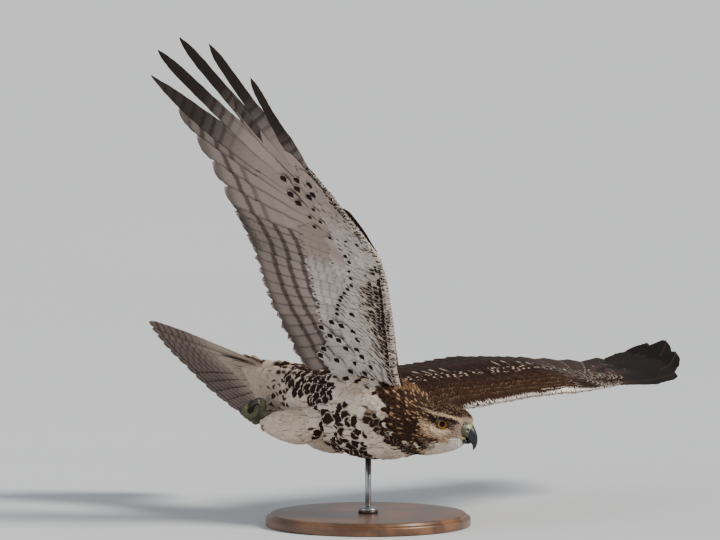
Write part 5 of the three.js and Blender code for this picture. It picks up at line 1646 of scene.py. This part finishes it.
def make_foot(leg_name, finish):
    """Bare foot with scutes over its clenched toes, and its claws."""
    leg = LEGS[leg_name]
    side = leg["side"]
    ankle = np.array(leg["ankle"], float)
    base = np.array(leg["toe_base"], float)
    trail = unit(base - ankle)
    across = np.array([0, 1.0, 0])
    rise = unit(np.cross(across, trail))
    if rise[2] < 0:
        rise = -rise
    centre = base + trail * FIST_RADIUS * 0.75

    def on_fist(degrees, radius, offset):
        a = np.radians(degrees)
        return (centre + np.multiply.outer(radius * np.cos(a), trail)
                + np.multiply.outer(radius * np.sin(a), rise) + np.multiply.outer(offset, across))

    tarsus = curve_points([ankle - trail * 14, mix(ankle, base, 0.5), base + trail], 40)
    shank = np.interp(np.linspace(0, 1, 40), [0, 0.5, 1], [5.6, 4.9, 6.2])
    shank = shank * (1 + 0.03 * np.abs(np.sin(np.linspace(0, 30, 40))))
    forms = [tube(tarsus, shank, 20)]
    ball = tube(base + np.outer(np.linspace(-8.2, 8.2, 16), trail),
                8.2 * np.sqrt(np.maximum(0.02, 1 - np.linspace(-1, 1, 16) ** 2)), 20, 1.25)
    forms.append(ball)
    claws = []
    digits = [(x, TOE_SWEEP, FIST_RADIUS, CLAW_SWEEP, 2.5) for x in TOE_SPLAY]
    digits.append((side * 4.6, HALLUX_SWEEP, FIST_RADIUS + 5.5, -HALLUX_CLAW_SWEEP, 2.8))
    for offset, sweep, radius, claw_turn, claw_girth in digits:
        t = np.linspace(0, 1, 60)
        splay = offset * np.minimum(1, 0.45 + 1.1 * t)
        route = on_fist(sweep[0] + (sweep[1] - sweep[0]) * t, radius + 0 * t, splay)
        scute = np.abs(np.sin(t * math.pi * 11)) ** 0.5
        pads = 0.5 * np.sin(t * math.pi * 3.2) ** 2
        forms.append(tube(route, 3.75 * (1 - 0.18 * t) + 0.4 * scute + pads, 16))
        w = np.linspace(0, 1, CLAW_ROWS)
        sunk = np.sign(claw_turn) * CLAW_SUNK
        turn = sweep[1] - sunk + (claw_turn + sunk) * w
        path = on_fist(turn, radius - 1.6 * w ** 2, np.full(CLAW_ROWS, offset))
        claws.append(tube(path, claw_girth * (1 - 0.94 * w) ** 0.8, CLAW_SIDES))
    foot = joined_tubes(f"foot_skin_{leg_name}", forms)
    dress(foot, finish["scales"], (f"foot_{leg_name}",))
    along = np.repeat(np.linspace(0, 1, CLAW_ROWS), CLAW_SIDES)
    for k, rings in enumerate(claws):
        points, faces = closed_tube(rings)
        claw = mesh_object(f"talon_{leg_name}_{k + 1}", points, faces, {"along": along})
        dress(claw, finish["claw"], (f"claw_{leg_name}_{k + 1}",))


def lathe(name, profile, sides):
    """A turned form about the part's Z axis, from its profile of radius and height in millimetres."""
    radius, height = np.array(profile, float).T[:, :, None]
    t = circle(sides)
    points, faces = closed_tube(np.stack([radius * np.cos(t), radius * np.sin(t), height + 0 * t], -1))
    return mesh_object(name, points, faces, place=lambda p: p * MM)


def arc(centre, radius, start, end):
    """Six points of a profile round a centre, between two angles in degrees."""
    a = np.radians(np.linspace(start, end, 6))
    return [[centre[0] + radius * math.cos(x), centre[1] + radius * math.sin(x)] for x in a]


def make_stand(finish):
    r = BASE_RADIUS
    top = BASE_THICKNESS
    profile = [[1, 0], [r - 2, 0], *arc((r - 1.2, 1.2), 1.2, -90, 0), *arc((r - 3, top - 7), 3, 0, 70)]
    profile += [[r - 5.2, top - 4.0], *arc((r - 8, top - 2.6), 2.6, 10, 90)]
    profile += [[r - 30, top], [40, top], [1, top]]
    base = lathe("stand_plinth", profile, 160)
    dress(base, finish["wood"], ("stand_base",))
    steel = finish["steel"]
    foot = top + 0.3
    profile = [[1, foot], [13, foot], [13, foot + 4.6], *arc((11.5, foot + 5.2), 1.5, 0, 80)]
    profile += [[6, top + 8.6], [1, top + 9]]
    dress(lathe("stand_flange", profile, 96), steel, ("stand_collar",))
    low, high = (corner[2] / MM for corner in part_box("stand_rod"))
    rod = [[0.5, low], [3.7, low], [4, low + 0.4], [4, high], [0.5, high]]
    dress(lathe("stand_post", rod, 48), steel, ("stand_rod",))


def light(name, kind, towards, **values):
    """A light that shines from the side it is turned towards."""
    lamp = bpy.data.lights.new(name, kind)
    for key, value in values.items():
        setattr(lamp, key, value)
    holder = link(bpy.data.objects.new(name, lamp))
    holder.rotation_euler = towards.to_track_quat("Z", "Y").to_euler()
    return holder


def make_stage():
    """Pale floor, soft studio light and the photo's camera."""
    half = 60.0
    corners = np.array([[-half, -half, 0], [half, -half, 0], [half, half, 0], [-half, half, 0]])
    floor = mesh_object("floor", corners, [np.arange(4)[None]], place=lambda p: p)
    floor.location.z = -0.0005
    floor.data.materials.append(floor_finish())
    azimuth = math.radians(VIEW_AZIMUTH)
    elevation = math.radians(VIEW_ELEVATION)
    level = math.cos(elevation)
    back = Vector((math.sin(azimuth) * level, -math.cos(azimuth) * level, math.sin(elevation)))
    right = Vector((math.cos(azimuth), math.sin(azimuth), 0))
    up = back.cross(right)
    off = [(f - t) / PIXELS_PER_MM * MM for f, t in zip(FRAME_CENTRE_PIXEL, TORSO_PIXEL)]
    aim = Vector(BIRD_PLACE * MM) + right * off[0] - up * off[1]
    camera = bpy.data.cameras.new("camera")
    camera.sensor_width = SENSOR_MM
    camera.lens = SENSOR_MM * CAMERA_DISTANCE * PIXELS_PER_MM / MM / FRAME_WIDTH_PIXELS
    camera.clip_end = 200
    viewer = link(bpy.data.objects.new("camera", camera))
    viewer.location = aim + back * CAMERA_DISTANCE
    viewer.rotation_euler = back.to_track_quat("Z", "Y").to_euler()
    bpy.context.scene.camera = viewer
    sun = right * 0.8 + back * 0.42 + Vector((0, 0, 0.62))
    light("key", "SUN", sun, energy=4.2, angle=math.radians(16), color=(1.0, 0.95, 0.88))
    place = right * -2.8 + back * 1.6 + Vector((0, 0, 1.0))
    light("fill", "AREA", place, size=3.0, energy=25, color=(0.93, 0.96, 1.0)).location = aim + place
    world = bpy.data.worlds.new("world")
    world.use_nodes = True
    sky = world.node_tree.nodes["Background"].inputs
    sky[0].default_value = (0.86, 0.9, 0.95, 1)
    sky[1].default_value = 0.5
    bpy.context.scene.world = world


make_stage()
FINISH = {
    "skin": skin_finish(),
    "body_plumage": plumage("body_plumage", 0.12, 0.6, 0.2), "head_plumage": plumage("head_plumage"),
    "flight_plumage": plumage("flight_plumage", 0.2), "covert_plumage": plumage("covert_plumage"),
    "eye": eye_finish(),
    "lid": grained_finish("lid", 1200.0, "#3a332c", "#6a6248", 0.6, 0.3),
    "cere": cere_finish(),
    "gape": grained_finish("gape", 900.0, "#6f6b42", "#93885c", 0.45, 0.2),
    "bill": horn_finish("bill", linear("#15181c"), linear("#060607")),
    "claw": horn_finish("claw", linear("#2c2a29"), linear("#0f0e0f")),
    "scales": scale_finish(), "wood": wood_finish(), "steel": steel_finish(),
}
make_body(FINISH)
for wing in (RIGHT_WING, LEFT_WING):
    make_wing(wing, FINISH)
make_tail(FINISH)
for side in (1, -1):
    make_eye(side, FINISH)
    make_lids(side, FINISH)
make_bill(FINISH)
for leg_name in LEGS:
    make_foot(leg_name, FINISH)
make_stand(FINISH)
